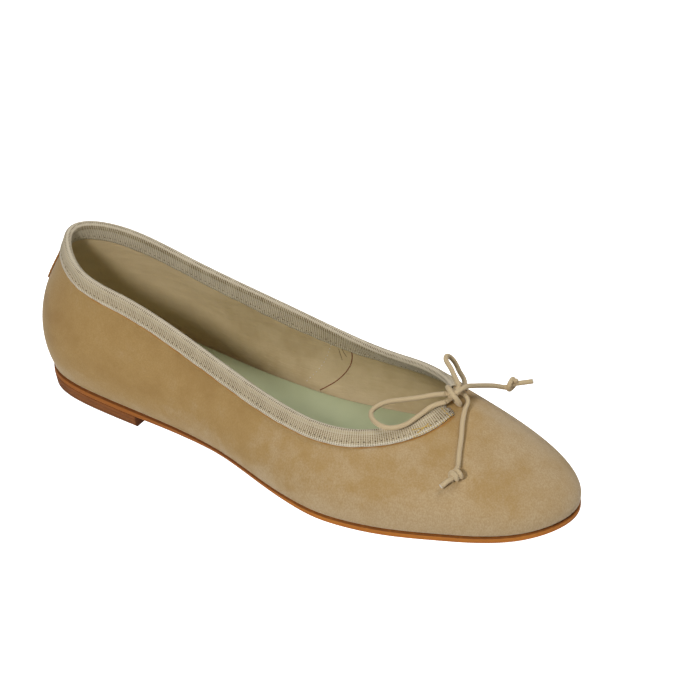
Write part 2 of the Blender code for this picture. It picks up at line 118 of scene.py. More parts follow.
# %% Sizes of the last and of its pieces, in metres
LENGTH, BALL_WIDTH, HEEL_WIDTH = 0.246, 0.081, 0.054
BACK_HEIGHT, SIDE_HEIGHT, THROAT_HEIGHT = 0.0663, 0.0363, 0.0445
TOE_SPRING, SEAT_RISE = 0.0052, 0.0052
UPPER_WALL, FEATHER_RADIUS, SOLE_THICKNESS = 0.0015, 0.0018, 0.0024
SOLE_EDGE, WAIST_TUCK, WAIST_BEVEL, SOLE_ROUNDING = 0.0002, 0.0003, 0.0007, 0.0006
HEEL_DEPTH, HEEL_TAPER = 0.0565, 0.0008
INSOLE_THICKNESS, INSOLE_ROUNDING, INSOLE_GAP = 0.0013, 0.0010, 0.0004
BINDING_OUTSIDE, BINDING_INSIDE, RIBBON, BINDING_GAP = 0.0055, 0.0065, 0.0007, 0.0110
TAB_TOP, TAB_WIDTH, TAB_HEIGHT, TAB_CURVE, TAB_LEATHER = 0.0130, 0.0190, 0.0200, 0.0050, 0.0006
CORD, CLEARANCE = 0.0020, 0.0003
# Where the back end of the last lies in the row's frame.
HEEL_END = np.array([-0.120861, 0.001798, 0.0])

Row = namedtuple("Row", "follows along across top_along top_across back throat swell rise reach drop")
ROWS = (
    Row("heel", 0.000, 0.000, 0.025, 0.020, 1.000, 0.00, 0.200, 0.60, 0.90, 0.34),
    Row("heel", 0.028, -0.335, 0.084, -0.280, 0.790, 0.00, 0.180, 0.52, 0.50, 0.34),
    Row("heel", 0.134, -0.490, 0.190, -0.340, 0.610, 0.00, 0.130, 0.42, 0.22, 0.34),
    Row("ball", 0.386, -0.388, 0.380, -0.275, 0.230, 0.00, 0.080, 0.42, 0.28, 0.34),
    Row("ball", 0.630, -0.521, 0.590, -0.370, -0.015, 0.00, 0.060, 0.48, 0.45, 0.32),
    Row("ball", 0.833, -0.382, 0.705, -0.262, -0.020, 0.06, 0.050, 0.50, 0.45, 0.30),
    Row("ball", 0.955, -0.204, 0.760, -0.100, 0.000, 0.50, 0.040, 0.42, 0.45, 0.28),
    Row("ball", 1.000, 0.052, 0.774, 0.065, 0.000, 1.00, 0.035, 0.36, 0.45, 0.26),
    Row("ball", 0.967, 0.254, 0.745, 0.180, 0.000, 0.88, 0.035, 0.34, 0.45, 0.28),
    Row("ball", 0.861, 0.403, 0.680, 0.270, 0.000, 0.55, 0.040, 0.40, 0.45, 0.30),
    Row("ball", 0.704, 0.478, 0.580, 0.335, 0.000, 0.08, 0.050, 0.42, 0.45, 0.32),
    Row("ball", 0.445, 0.296, 0.400, 0.335, 0.205, 0.00, 0.085, 0.40, 0.35, 0.34),
    Row("heel", 0.143, 0.510, 0.195, 0.450, 0.560, 0.00, 0.130, 0.42, 0.30, 0.34),
    Row("heel", 0.032, 0.320, 0.074, 0.330, 0.860, 0.00, 0.180, 0.52, 0.50, 0.34),
)
TURNS, TOE_ROW = len(ROWS), 7
WIDTHS = {"heel": HEEL_WIDTH, "ball": BALL_WIDTH}


def lengths_of(row):
    """A row of shares as lengths."""
    width = WIDTHS[row.follows]
    height = SIDE_HEIGHT + row.back * (BACK_HEIGHT - SIDE_HEIGHT)
    height += row.throat * (THROAT_HEIGHT - SIDE_HEIGHT)
    foot = (row.along * LENGTH, row.across * width)
    collar = (row.top_along * LENGTH, row.top_across * width, height)
    return (*foot, *collar, row.swell * width, row.rise, row.reach, row.drop)


TABLE = np.array([lengths_of(row) for row in ROWS])
STEPS = np.linalg.norm(TABLE[:, :2] - np.roll(TABLE[:, :2], -1, axis=0), axis=1)
KNOTS = np.concatenate([[0.0], np.cumsum(np.sqrt(STEPS))])


def loop_bends():
    """Second derivatives of the smooth closed curve through the table."""
    gaps, matrix, right = np.diff(KNOTS), np.zeros((TURNS, TURNS)), np.zeros_like(TABLE)
    for i in range(TURNS):
        before, after, following = gaps[i - 1], gaps[i], (i + 1) % TURNS
        matrix[i, i - 1] += before
        matrix[i, i] += 2 * (before + after)
        matrix[i, following] += after
        right[i] = 6 * ((TABLE[following] - TABLE[i]) / after - (TABLE[i] - TABLE[i - 1]) / before)
    return np.linalg.solve(matrix, right)


BENDS = loop_bends()


def last_at(turn):
    """The table's columns and their slopes at places round the last."""
    turn = np.asarray(turn, float)
    row = np.floor(turn).astype(int) % TURNS
    after = (row + 1) % TURNS
    b = (turn - np.floor(turn))[..., None]
    a, gap = 1.0 - b, (KNOTS[row + 1] - KNOTS[row])[..., None]
    value = a * TABLE[row] + b * TABLE[after]
    value = value + ((a**3 - a) * BENDS[row] + (b**3 - b) * BENDS[after]) * gap**2 / 6
    slope = (TABLE[after] - TABLE[row]) / gap
    slope = slope + ((3 * b * b - 1) * BENDS[after] - (3 * a * a - 1) * BENDS[row]) * gap / 6
    return value, slope


def along_curve(table):
    """A function of a share of the length: a smooth curve that never passes its own values."""
    places, values = np.array(table).T
    steps = np.diff(values) / np.diff(places)
    both = steps[:-1] * steps[1:]
    total = np.where(both > 0, steps[:-1] + steps[1:], 1.0)
    slopes = np.concatenate([steps[:1], np.where(both > 0, 2 * both / total, 0.0), steps[-1:]])

    def curve(along):
        i = np.clip(np.searchsorted(places, along) - 1, 0, len(places) - 2)
        gap = places[i + 1] - places[i]
        t = np.clip((along - places[i]) / gap, 0.0, 1.0)
        start = (1 + 2 * t) * (1 - t) ** 2 * values[i] + t * (1 - t) ** 2 * gap * slopes[i]
        return start + t * t * (3 - 2 * t) * values[i + 1] + t * t * (t - 1) * gap * slopes[i + 1]

    return curve


seat_share = along_curve(
    ((-0.05, 1.06), (0.0, 1.06), (0.20, 1.0), (0.40, 0.88), (0.55, 0.26), (0.65, 0.0), (1.05, 0.0))
)
spring_share = along_curve(((-0.05, 0.0), (0.72, 0.0), (0.85, 0.27), (1.0, 1.0), (1.05, 1.4)))
waist = along_curve(
    ((-0.05, 0.0), (0.22, 0.0), (0.32, 0.5), (0.42, 1.0), (0.52, 0.8), (0.64, 0.1), (0.72, 0.0), (1.05, 0.0))
)


def underside(x):
    """Height of the last's underside at a distance from its back end."""
    height = SOLE_THICKNESS + CLEARANCE + seat_share(x / LENGTH) * SEAT_RISE
    return height + spring_share(x / LENGTH) * TOE_SPRING


def unit(vectors):
    return vectors / np.linalg.norm(vectors, axis=-1, keepdims=True)


def wall(turn, up):
    """Points of the upper's outer face: up is 0 at its feather corner and 1 at the collar."""
    turn, up = np.broadcast_arrays(np.asarray(turn, float), np.asarray(up, float))
    value, slope = last_at(turn)
    zero = np.zeros_like(up)
    outward = unit(np.stack([slope[..., 1], -slope[..., 0], zero], -1))
    low = np.stack([value[..., 0], value[..., 1], underside(value[..., 0]) + FEATHER_RADIUS], -1)
    collar = value[..., 2:5]
    swell, rise, reach, drop = (value[..., i, None] for i in (5, 6, 7, 8))
    height = (collar[..., 2] - low[..., 2])[..., None]
    run = (low - collar) * (1.0, 1.0, 0.0)
    lift = np.array([0.0, 0.0, 1.0])
    low_handle = low + outward * swell + lift * rise * height
    top_handle = collar + run * reach - lift * drop * height
    u = up[..., None]
    d = 1.0 - u
    points = low * d**3 + low_handle * 3 * d * d * u + top_handle * 3 * d * u * u + collar * u**3
    return points + HEEL_END


SMALL_TURN, SMALL_UP = 0.02, 0.01


def wall_normal(turn, up):
    low, high = np.maximum(np.asarray(up) - SMALL_UP, 0.0), np.minimum(np.asarray(up) + SMALL_UP, 1.0)
    rise = wall(turn, high) - wall(turn, low)
    sweep = wall(np.asarray(turn) + SMALL_TURN, up) - wall(np.asarray(turn) - SMALL_TURN, up)
    return unit(np.cross(sweep, rise))


def skin(turn, up, out):
    """Points this far out of the upper's outer face."""
    return wall(turn, up) + wall_normal(turn, up) * np.asarray(out)[..., None]


def feather(turn, inset, lift=0.0):
    """Points of the last's underside, this far in from its edge."""
    value, slope = last_at(turn)
    inset = np.broadcast_to(inset, value[..., 0].shape)
    outward = unit(np.stack([slope[..., 1], -slope[..., 0]], -1))
    flat = value[..., :2] - outward * inset[..., None]
    return np.concatenate([flat, (underside(flat[..., 0]) + lift)[..., None]], -1) + HEEL_END


def below_collar(turn, depth):
    """(turn, up) of the wall's points this far below the collar, square to it."""
    start, normal = wall(turn, 1.0), wall_normal(turn, 1.0)
    ahead = unit(wall(turn + SMALL_TURN, 1.0) - wall(turn - SMALL_TURN, 1.0))
    down = np.cross(ahead, normal)
    t, u = np.array(turn, float), np.ones_like(turn, float)
    for _ in range(7):
        here = wall(t, u)
        by_turn = (wall(t + SMALL_TURN, u) - here) / SMALL_TURN
        by_up = (here - wall(t, u - SMALL_UP)) / SMALL_UP
        matrix = np.stack(
            [
                np.stack([(by_turn * down).sum(-1), (by_up * down).sum(-1)], -1),
                np.stack([(by_turn * ahead).sum(-1), (by_up * ahead).sum(-1)], -1),
            ],
            -2,
        )
        missing = np.stack([depth - ((here - start) * down).sum(-1), -((here - start) * ahead).sum(-1)], -1)
        step = np.linalg.solve(matrix, missing[..., None])[..., 0]
        t, u = t + step[..., 0], u + step[..., 1]
    return t, u


print("collar at the throat:", np.round(wall(7.0, 1.0) * 1000, 1), "mm")

# %% [markdown]
# ## Helpers for meshes and materials
# Almost every piece here is a grid of points wrapped round the last, so one helper makes a
# mesh from a grid. Materials are node trees; `put` adds a node and links or sets its
# inputs in one line, which keeps each material readable.

# %% Helpers
BODY = next(iter(frame["bodies"]))


def grid_faces(rows, columns, closed):
    faces = []
    for i in range(rows if closed else rows - 1):
        here, there = i * columns, (i + 1) % rows * columns
        faces += [(here + j, there + j, there + j + 1, here + j + 1) for j in range(columns - 1)]
    return faces


def add_mesh(name, points, faces, materials, attributes=None, uv=None, merge=True):
    """A smooth mesh object. Attributes and uv hold one value or pair for each point."""
    mesh = bpy.data.meshes.new(name)
    mesh.from_pydata([tuple(p) for p in points], [], faces)
    for key, values in (attributes or {}).items():
        layer = mesh.attributes.new(key, "FLOAT", "POINT")
        layer.data.foreach_set("value", np.asarray(values, np.float32).ravel())
    if uv is not None:
        corners = np.empty(len(mesh.loops), np.int32)
        mesh.loops.foreach_get("vertex_index", corners)
        layer = mesh.uv_layers.new(name="UVMap")
        layer.data.foreach_set("uv", np.asarray(uv, np.float32).reshape(-1, 2)[corners].ravel())
    if merge:
        reworked(mesh, lambda shape: bmesh.ops.remove_doubles(shape, verts=shape.verts, dist=1e-6))
    mesh.shade_smooth()
    made = bpy.data.objects.new(name, mesh)
    for material in materials:
        mesh.materials.append(material)
    bpy.context.scene.collection.objects.link(made)
    return made


def reworked(mesh, work):
    """Runs one bmesh operation on a mesh."""
    shape = bmesh.new()
    shape.from_mesh(mesh)
    work(shape)
    shape.to_mesh(mesh)
    shape.free()


def running_length(points):
    """Distance along a path, at each of its points."""
    steps = np.linalg.norm(np.diff(points, axis=0), axis=1)
    return np.concatenate([[0.0], np.cumsum(steps)])


def apply_modifiers(made):
    """The object with its modifiers' result as its own mesh."""
    graph = bpy.context.evaluated_depsgraph_get()
    mesh = bpy.data.meshes.new_from_object(made.evaluated_get(graph))
    made.modifiers.clear()
    made.data = mesh
    return made


def finish_piece(made, slot, *nodes):
    """The piece rides on the shoe and stands for these nodes, which it hides. The slot is not used."""
    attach(made, BODY)
    if nodes:
        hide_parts(*nodes)
    return made


def new_material(name, colour, roughness, **settings):
    """(material, its node tree, its Principled shader) with plain sockets set."""
    made = bpy.data.materials.new(name)
    made.use_nodes = True
    shader = made.node_tree.nodes["Principled BSDF"]
    shader.inputs["Base Color"].default_value = (*colour, 1.0)
    shader.inputs["Roughness"].default_value = roughness
    for key, value in settings.items():
        shader.inputs[key.replace("_", " ")].default_value = value
    return made, made.node_tree, shader


def put(tree, kind, inputs=None, **settings):
    """A new node. Inputs hold values, or sockets of other nodes to link."""
    node = tree.nodes.new(kind)
    for key, value in settings.items():
        setattr(node, key, value)
    for key, value in (inputs or {}).items():
        if isinstance(value, bpy.types.NodeSocket):
            tree.links.new(value, node.inputs[key])
        else:
            node.inputs[key].default_value = value
    return node


def maths(tree, operation, *values, clamp=False):
    inputs = dict(enumerate(values))
    return put(tree, "ShaderNodeMath", inputs, operation=operation, use_clamp=clamp).outputs[0]


def ramp(tree, value, low, high, to_low=0.0, to_high=1.0):
    """A value carried from one range to another, eased and clamped."""
    inputs = {"Value": value, "From Min": low, "From Max": high, "To Min": to_low, "To Max": to_high}
    return put(tree, "ShaderNodeMapRange", inputs, interpolation_type="SMOOTHSTEP").outputs[0]


def tint(tree, share, first, second):
    """A colour between two colours."""
    node = tree.nodes.new("ShaderNodeMix")
    node.data_type = "RGBA"
    for index, value in ((0, share), (6, first), (7, second)):
        if isinstance(value, bpy.types.NodeSocket):
            tree.links.new(value, node.inputs[index])
        elif index:
            node.inputs[index].default_value = (*value, 1.0)
        else:
            node.inputs[index].default_value = value
    return node.outputs[2]


def noise(tree, place, scale, detail=3.0, roughness=0.55, stretch=None):
    if stretch:
        place = put(tree, "ShaderNodeMapping", {"Vector": place, "Scale": stretch}).outputs[0]
    inputs = {"Vector": place, "Scale": scale, "Detail": detail, "Roughness": roughness}
    return put(tree, "ShaderNodeTexNoise", inputs).outputs["Fac"]


def object_place(tree):
    return put(tree, "ShaderNodeTexCoord").outputs["Object"]


def part_of(tree, vector, axis):
    """One axis of a vector."""
    return put(tree, "ShaderNodeSeparateXYZ", {"Vector": vector}).outputs[axis]


def attribute(tree, name):
    return put(tree, "ShaderNodeAttribute", attribute_name=name).outputs["Fac"]


def add_bump(tree, shader, height, distance, strength=1.0, normal=None):
    inputs = {"Height": height, "Distance": distance, "Strength": strength}
    if normal is not None:
        inputs["Normal"] = normal
    bump = put(tree, "ShaderNodeBump", inputs)
    tree.links.new(bump.outputs[0], shader.inputs["Normal"])
    return bump.outputs[0]


# %% [markdown]
# ## Floor and light
# The near rim throws a fairly sharp shadow on the lining, so one lamp must be small. Its
# edge tells where that lamp stands: at the outer side, 35 degrees up. A big soft lamp over
# the toe does most of the rest, weaker ones fill in from four more sides, and hardly any
# light comes from all round. The paper glows a little, and the camera sees it pure white,
# as overexposed paper is.

# %% Floor and light
FLOOR_HALF, FLOOR_DROP, LAMP_AIM = 3.0, 0.0002, Vector((0.0, 0.0, 0.03))
WORLD_STRENGTH, PAPER_COLOUR, PAPER_GLOW = 0.01, 0.50, 0.32
Lamp = namedtuple("Lamp", "name place size power")
LAMPS = (
    Lamp("small main lamp at the outer side", (0.13, -1.22, 0.89), 0.30, 13.4),
    Lamp("big soft lamp over the toe", (0.44, 0.26, 1.44), 0.90, 9.2),
    Lamp("soft lamp beyond the toe", (1.13, 0.20, 0.99), 0.90, 1.0),
    Lamp("low soft lamp by the camera", (0.69, -1.20, 0.59), 0.90, 1.0),
    Lamp("soft lamp behind the inner side", (0.20, 1.33, 0.66), 0.90, 5.0),
    Lamp("soft lamp behind the heel", (-1.30, 0.45, 0.61), 0.90, 2.5),
)


def make_stage():
    mesh = bpy.data.meshes.new("floor")
    signs = ((-1, -1), (1, -1), (1, 1), (-1, 1))
    corners = [(x * FLOOR_HALF, y * FLOOR_HALF, -FLOOR_DROP) for x, y in signs]
    mesh.from_pydata(corners, [], [(0, 1, 2, 3)])
    floor = bpy.data.objects.new("floor", mesh)
    bpy.context.scene.collection.objects.link(floor)
    paper = bpy.data.materials.new("white paper")
    paper.use_nodes = True
    shader = paper.node_tree.nodes["Principled BSDF"]
    shader.inputs["Base Color"].default_value = (PAPER_COLOUR, PAPER_COLOUR, PAPER_COLOUR, 1.0)
    shader.inputs["Roughness"].default_value = 0.9
    shader.inputs["Emission Color"].default_value = (1.0, 1.0, 1.0, 1.0)
    seen = put(paper.node_tree, "ShaderNodeLightPath").outputs["Is Camera Ray"]
    glow = maths(paper.node_tree, "ADD", seen, PAPER_GLOW)
    paper.node_tree.links.new(glow, shader.inputs["Emission Strength"])
    mesh.materials.append(paper)
    world = bpy.data.worlds.new("white room")
    world.use_nodes = True
    background = world.node_tree.nodes["Background"]
    background.inputs["Color"].default_value = (1.0, 0.995, 0.985, 1.0)
    background.inputs["Strength"].default_value = WORLD_STRENGTH
    bpy.context.scene.world = world
    for lamp in LAMPS:
        data = bpy.data.lights.new(lamp.name, "AREA")
        data.shape, data.size, data.energy = "DISK", lamp.size, lamp.power
        light = bpy.data.objects.new(lamp.name, data)
        light.location = lamp.place
        aim = LAMP_AIM - Vector(lamp.place)
        light.rotation_euler = aim.to_track_quat("-Z", "Y").to_euler()
        bpy.context.scene.collection.objects.link(light)
    bpy.context.scene.view_settings.view_transform = "Standard"


make_stage()

# %% [markdown]
# Suede, lining and insole all show a little clouding: hides aren't dyed evenly, and nap
# lies this way and that. One node group makes that mask from two noises of different size,
# and each material sets its own sizes.

# %% Clouding, shared by the leathers
def make_clouding():
    tree = bpy.data.node_groups.new("clouding", "ShaderNodeTree")
    for name, kind, default in (
        ("Vector", "NodeSocketVector", None),
        ("Broad", "NodeSocketFloat", 20.0),
        ("Close", "NodeSocketFloat", 80.0),
        ("Contrast", "NodeSocketFloat", 1.0),
    ):
        socket = tree.interface.new_socket(name, in_out="INPUT", socket_type=kind)
        if default is not None:
            socket.default_value = default
    tree.interface.new_socket("Mask", in_out="OUTPUT", socket_type="NodeSocketFloat")
    given, out = put(tree, "NodeGroupInput"), put(tree, "NodeGroupOutput")
    broad = noise(tree, given.outputs["Vector"], given.outputs["Broad"], 4.0, 0.55)
    close = noise(tree, given.outputs["Vector"], given.outputs["Close"], 5.0, 0.6)
    both = maths(tree, "ADD", maths(tree, "MULTIPLY", broad, 0.6), maths(tree, "MULTIPLY", close, 0.4))
    spread = maths(tree, "MULTIPLY", maths(tree, "SUBTRACT", both, 0.5), given.outputs["Contrast"])
    mask = maths(tree, "ADD", spread, 0.5, clamp=True)
    tree.links.new(mask, out.inputs["Mask"])
    return tree


CLOUDING = make_clouding()


def clouds(tree, place, broad, close, contrast):
    """The clouding group's mask, with sizes of its own."""
    inputs = {"Vector": place, "Broad": broad, "Close": close, "Contrast": contrast}
    return put(tree, "ShaderNodeGroup", inputs, node_tree=CLOUDING).outputs["Mask"]


# %% [markdown]
# ## Suede upper
# Suede is leather with its flesh side brushed up. It has no gloss, its colour clouds where
# the nap turns, and it brightens at grazing angles like velvet. The sheen of the Principled
# shader does the last. Against the ribbon the suede shows a thin warm line, where glue and
# painted shade meet. It pales towards the toe and near the sole, partly in its own tone and
# partly as painted light from above and from the floor.

# %% Suede
SUEDE_DEEP, SUEDE_MID, SUEDE_PALE = (0.325, 0.190, 0.062), (0.405, 0.258, 0.096), (0.500, 0.372, 0.215)


def make_suede():
    made, tree, shader = new_material(
        "suede", SUEDE_MID, 0.95, Sheen_Weight=0.35, Sheen_Roughness=0.5, Specular_IOR_Level=0.15
    )
    shader.inputs["Sheen Tint"].default_value = (1.0, 0.93, 0.80, 1.0)
    place = object_place(tree)
    mask = clouds(tree, place, 36.0, 150.0, 1.6)
    x = part_of(tree, place, "X")
    # Paler towards the toe and near the sole: partly the suede's own tone, partly painted light from above
    # and bounced up from the floor.
    toe_tone_and_light = ramp(tree, x, -0.06, 0.11)
    pale = maths(tree, "ADD", mask, maths(tree, "MULTIPLY", toe_tone_and_light, 0.40))
    low = ramp(tree, attribute(tree, "above_sole"), 0.014, 0.001, 0.0, 0.22)
    pale = maths(tree, "ADD", pale, low)
    colour = tint(tree, ramp(tree, pale, 0.15, 0.62), SUEDE_DEEP, SUEDE_MID)
    colour = tint(tree, ramp(tree, pale, 0.55, 1.10), colour, SUEDE_PALE)
    nap = noise(tree, place, 1700.0, 3.0, 0.7, (1.0, 1.0, 0.6))
    colour = tint(tree, ramp(tree, nap, 0.34, 0.64, 0.0, 0.42), colour, SUEDE_DEEP)
    # A thin warm darker line just below the ribbon: painted shade of the ribbon's edge, with some glue.
    rough = noise(tree, place, 260.0, 2.0)
    ragged = maths(tree, "MULTIPLY_ADD", rough, 0.0012, attribute(tree, "below_ribbon"))
    edge = ramp(tree, ragged, 0.0021, 0.0013, 0.0, 0.70)
    colour = tint(tree, edge, colour, (0.36, 0.155, 0.030))
    tree.links.new(colour, shader.inputs["Base Color"])
    fine = noise(tree, place, 2600.0, 2.0, 0.6)
    soft = add_bump(tree, shader, maths(tree, "ADD", nap, fine), 0.00016, 0.55)
    add_bump(tree, shader, noise(tree, place, 260.0, 3.0), 0.00022, 0.35, soft)
    return made


SUEDE = make_suede()

# Soft troughs and ridges in the stretched suede: place round the last, height up the wall,
# spread in each, and depth in millimetres (ridges are negative).
Dent = namedtuple("Dent", "turn up wide tall depth")
DENTS = (
    Dent(1.30, 0.55, 0.45, 0.30, 0.30),
    Dent(2.40, 0.45, 0.55, 0.22, 0.45),
    Dent(3.20, 0.72, 0.40, 0.16, -0.25),
    Dent(3.70, 0.40, 0.50, 0.25, 0.35),
    Dent(4.60, 0.66, 0.45, 0.15, 0.28),
    Dent(5.40, 0.80, 0.30, 0.10, 0.30),
    Dent(5.95, 0.62, 0.35, 0.14, -0.22),
    Dent(6.50, 0.76, 0.22, 0.12, 0.30),
    Dent(7.40, 0.78, 0.25, 0.12, 0.28),
    Dent(8.20, 0.60, 0.40, 0.18, 0.25),
    Dent(9.50, 0.66, 0.50, 0.16, 0.35),
    Dent(11.1, 0.50, 0.60, 0.22, 0.50),
    Dent(12.3, 0.60, 0.45, 0.25, 0.35),
)
PUCKER, PUCKER_PITCH, PUCKER_REACH = 0.00016, 0.0052, 0.0070


def collar_lengths(turn):
    """Distance along the collar, for turns in rising order."""
    return running_length(wall(turn, 1.0))


def relief(turn, up, below):
    """How far the suede lies inside the last's smooth surface."""
    depth = np.zeros(np.broadcast(turn, up).shape)
    for dent in DENTS:
        round_it = (turn - dent.turn + TURNS / 2) % TURNS - TURNS / 2
        spread = -((round_it / dent.wide) ** 2) - ((up - dent.up) / dent.tall) ** 2
        depth = depth + dent.depth * MM * np.exp(spread)
    gather = np.exp(-(((turn - TOE_ROW) / 1.6) ** 2))
    wave = np.sin(2 * math.pi * collar_lengths(turn[:, 0])[:, None] / PUCKER_PITCH)
    fade = np.exp(-((below / PUCKER_REACH) ** 2))
    return depth * np.clip(up * 6, 0, 1) + PUCKER * gather * wave * fade


def ribbon_span():
    """(first, last) place of the ribbon, from one side of the throat round the heel."""
    here, there = wall(np.array([TOE_ROW - 0.05, TOE_ROW + 0.05]), 1.0)
    half = 0.5 * BINDING_GAP * 0.1 / np.linalg.norm(there - here)
    return TOE_ROW + half, TOE_ROW + TURNS - half * 1.2


UPPER_STEPS, WALL_STEPS, CORNER_STEPS = 34, 56, 6
SUEDE_WALL, LINING_GAP = 0.0009, 0.00005
# How far suede and lining run under the foot.
TURNED_IN, LINING_TURNED_IN = 0.008, 0.007


def upper_grid(out, bottom_inset, corner, dented):
    """Points of a face of the upper at this distance from its outer face, bottom to top."""
    turn = np.arange(TURNS * UPPER_STEPS)[:, None] / UPPER_STEPS
    up = np.linspace(0.0, 1.0, WALL_STEPS + 1)[None, :]
    grid = wall(turn, up)
    steps = np.linalg.norm(np.diff(grid, axis=1), axis=-1)
    below = np.concatenate([np.cumsum(steps[:, ::-1], axis=1)[:, ::-1], np.zeros((len(turn), 1))], axis=1)
    turned_in = np.array([bottom_inset, corner])[None, :]
    rounding = np.linspace(0.0, 0.5 * math.pi, CORNER_STEPS, endpoint=False)[None, :]
    bottom = feather(turn + 0 * turned_in, turned_in + 0 * turn, out)
    bottom = bottom if out >= 0 else feather(turn + 0 * turned_in, turned_in + 0 * turn, -out)
    inset = corner * (1.0 - np.sin(rounding)) + max(-out, 0.0)
    lift = corner * (1.0 - np.cos(rounding)) + max(-out, 0.0)
    arc = feather(turn + 0 * rounding, inset + 0 * turn, lift)
    depth = relief(turn, up, below) if dented else 0.0 * below
    face = skin(turn + 0 * up, up + 0 * turn, np.full(below.shape, out) - depth)
    zeros = np.zeros((len(turn), 2 + CORNER_STEPS))
    rise = np.concatenate([zeros, np.cumsum(np.concatenate([zeros[:, :1], steps], axis=1), axis=1)], axis=1)
    return np.concatenate([bottom, arc, face], axis=1), np.concatenate([zeros + 1.0, below], axis=1), rise


def make_upper():
    outer, below, rise = upper_grid(0.0, FEATHER_RADIUS + TURNED_IN, FEATHER_RADIUS, True)
    inner, _, _ = upper_grid(-SUEDE_WALL, FEATHER_RADIUS + TURNED_IN, FEATHER_RADIUS - SUEDE_WALL, False)
    points = np.concatenate([outer, inner[:, ::-1], outer[:, :1]], axis=1)
    rows, columns = points.shape[:2]
    far = np.ones_like(below)
    first, last = ribbon_span()
    turn = np.arange(rows) / UPPER_STEPS
    bare = (turn > last - TURNS) & (turn < first)
    below = np.concatenate([below + bare[:, None], far, far[:, :1]], axis=1) - BINDING_OUTSIDE
    rise = np.concatenate([rise, far, rise[:, :1]], axis=1)
    upper = add_mesh(
        "suede_upper",
        points.reshape(-1, 3),
        grid_faces(rows, columns, True),
        [SUEDE],
        {"below_ribbon": below, "above_sole": rise},
    )
    return finish_piece(upper, "suede", "upper")


upper = make_upper()
print("suede:", len(upper.data.polygons), "faces")

# %% [markdown]
# ## Lining
# Inside the suede lies a second shell of thin smooth leather. It is joined at the inner
# side by a curved seam, with a row of small stitches behind it, which the open collar
# shows. We loft the lining just inside the suede and lay the seam on it afterwards.

# %% Lining
LINING_PALE, LINING_DEEP, LINING_HEEL_LIGHT = (0.545, 0.420, 0.240), (0.420, 0.308, 0.158), (0.700, 0.550, 0.340)


def make_lining_leather():
    made, tree, shader = new_material("lining leather", LINING_PALE, 0.55, Specular_IOR_Level=0.35)
    place = object_place(tree)
    mask = clouds(tree, place, 30.0, 120.0, 1.4)
    colour = tint(tree, ramp(tree, mask, 0.2, 0.8), LINING_DEEP, LINING_PALE)
    # Paler towards the heel: painted light on the lit inner wall there.
    x = part_of(tree, place, "X")
    colour = tint(tree, ramp(tree, x, -0.04, -0.085, 0.0, 0.55), colour, LINING_HEEL_LIGHT)
    tree.links.new(colour, shader.inputs["Base Color"])
    pores = put(tree, "ShaderNodeTexVoronoi", {"Vector": place, "Scale": 1300.0}).outputs["Distance"]
    grain = add_bump(tree, shader, pores, 0.00010, 0.35)
    wrinkles = noise(tree, place, 150.0, 4.0, 0.6, (0.35, 1.0, 1.7))
    add_bump(tree, shader, wrinkles, 0.0010, 0.55, grain)
    return made


LINING = make_lining_leather()


def make_lining():
    outer, _, _ = upper_grid(-SUEDE_WALL - LINING_GAP, FEATHER_RADIUS + LINING_TURNED_IN, 0.0012, False)
    inner, _, _ = upper_grid(-UPPER_WALL, FEATHER_RADIUS + LINING_TURNED_IN, 0.0010, False)
    points = np.concatenate([outer, inner[:, ::-1], outer[:, :1]], axis=1)
    rows, columns = points.shape[:2]
    lining = add_mesh("lining", points.reshape(-1, 3), grid_faces(rows, columns, True), [LINING])
    finish_piece(lining, "suede")


make_lining()

# %% [markdown]
# ## Woven ribbon
# The collar is bound with a cotton ribbon, folded over the edge and sewn near its lower
# rim. Its ribs run across it, a little over one to the millimetre, too fine for mesh,
# so they are bump and colour on a UV map that is measured in metres along and across. The
# fold, the thickness, the slight waver of the edges and each stitch are real shapes.

# %% Ribbon
RIB_PITCH, WARP_PITCH = 0.00088, 0.00066
RIBBON_PALE, RIBBON_DEEP, RIBBON_RIM = (0.480, 0.390, 0.245), (0.170, 0.110, 0.042), (0.690, 0.620, 0.485)


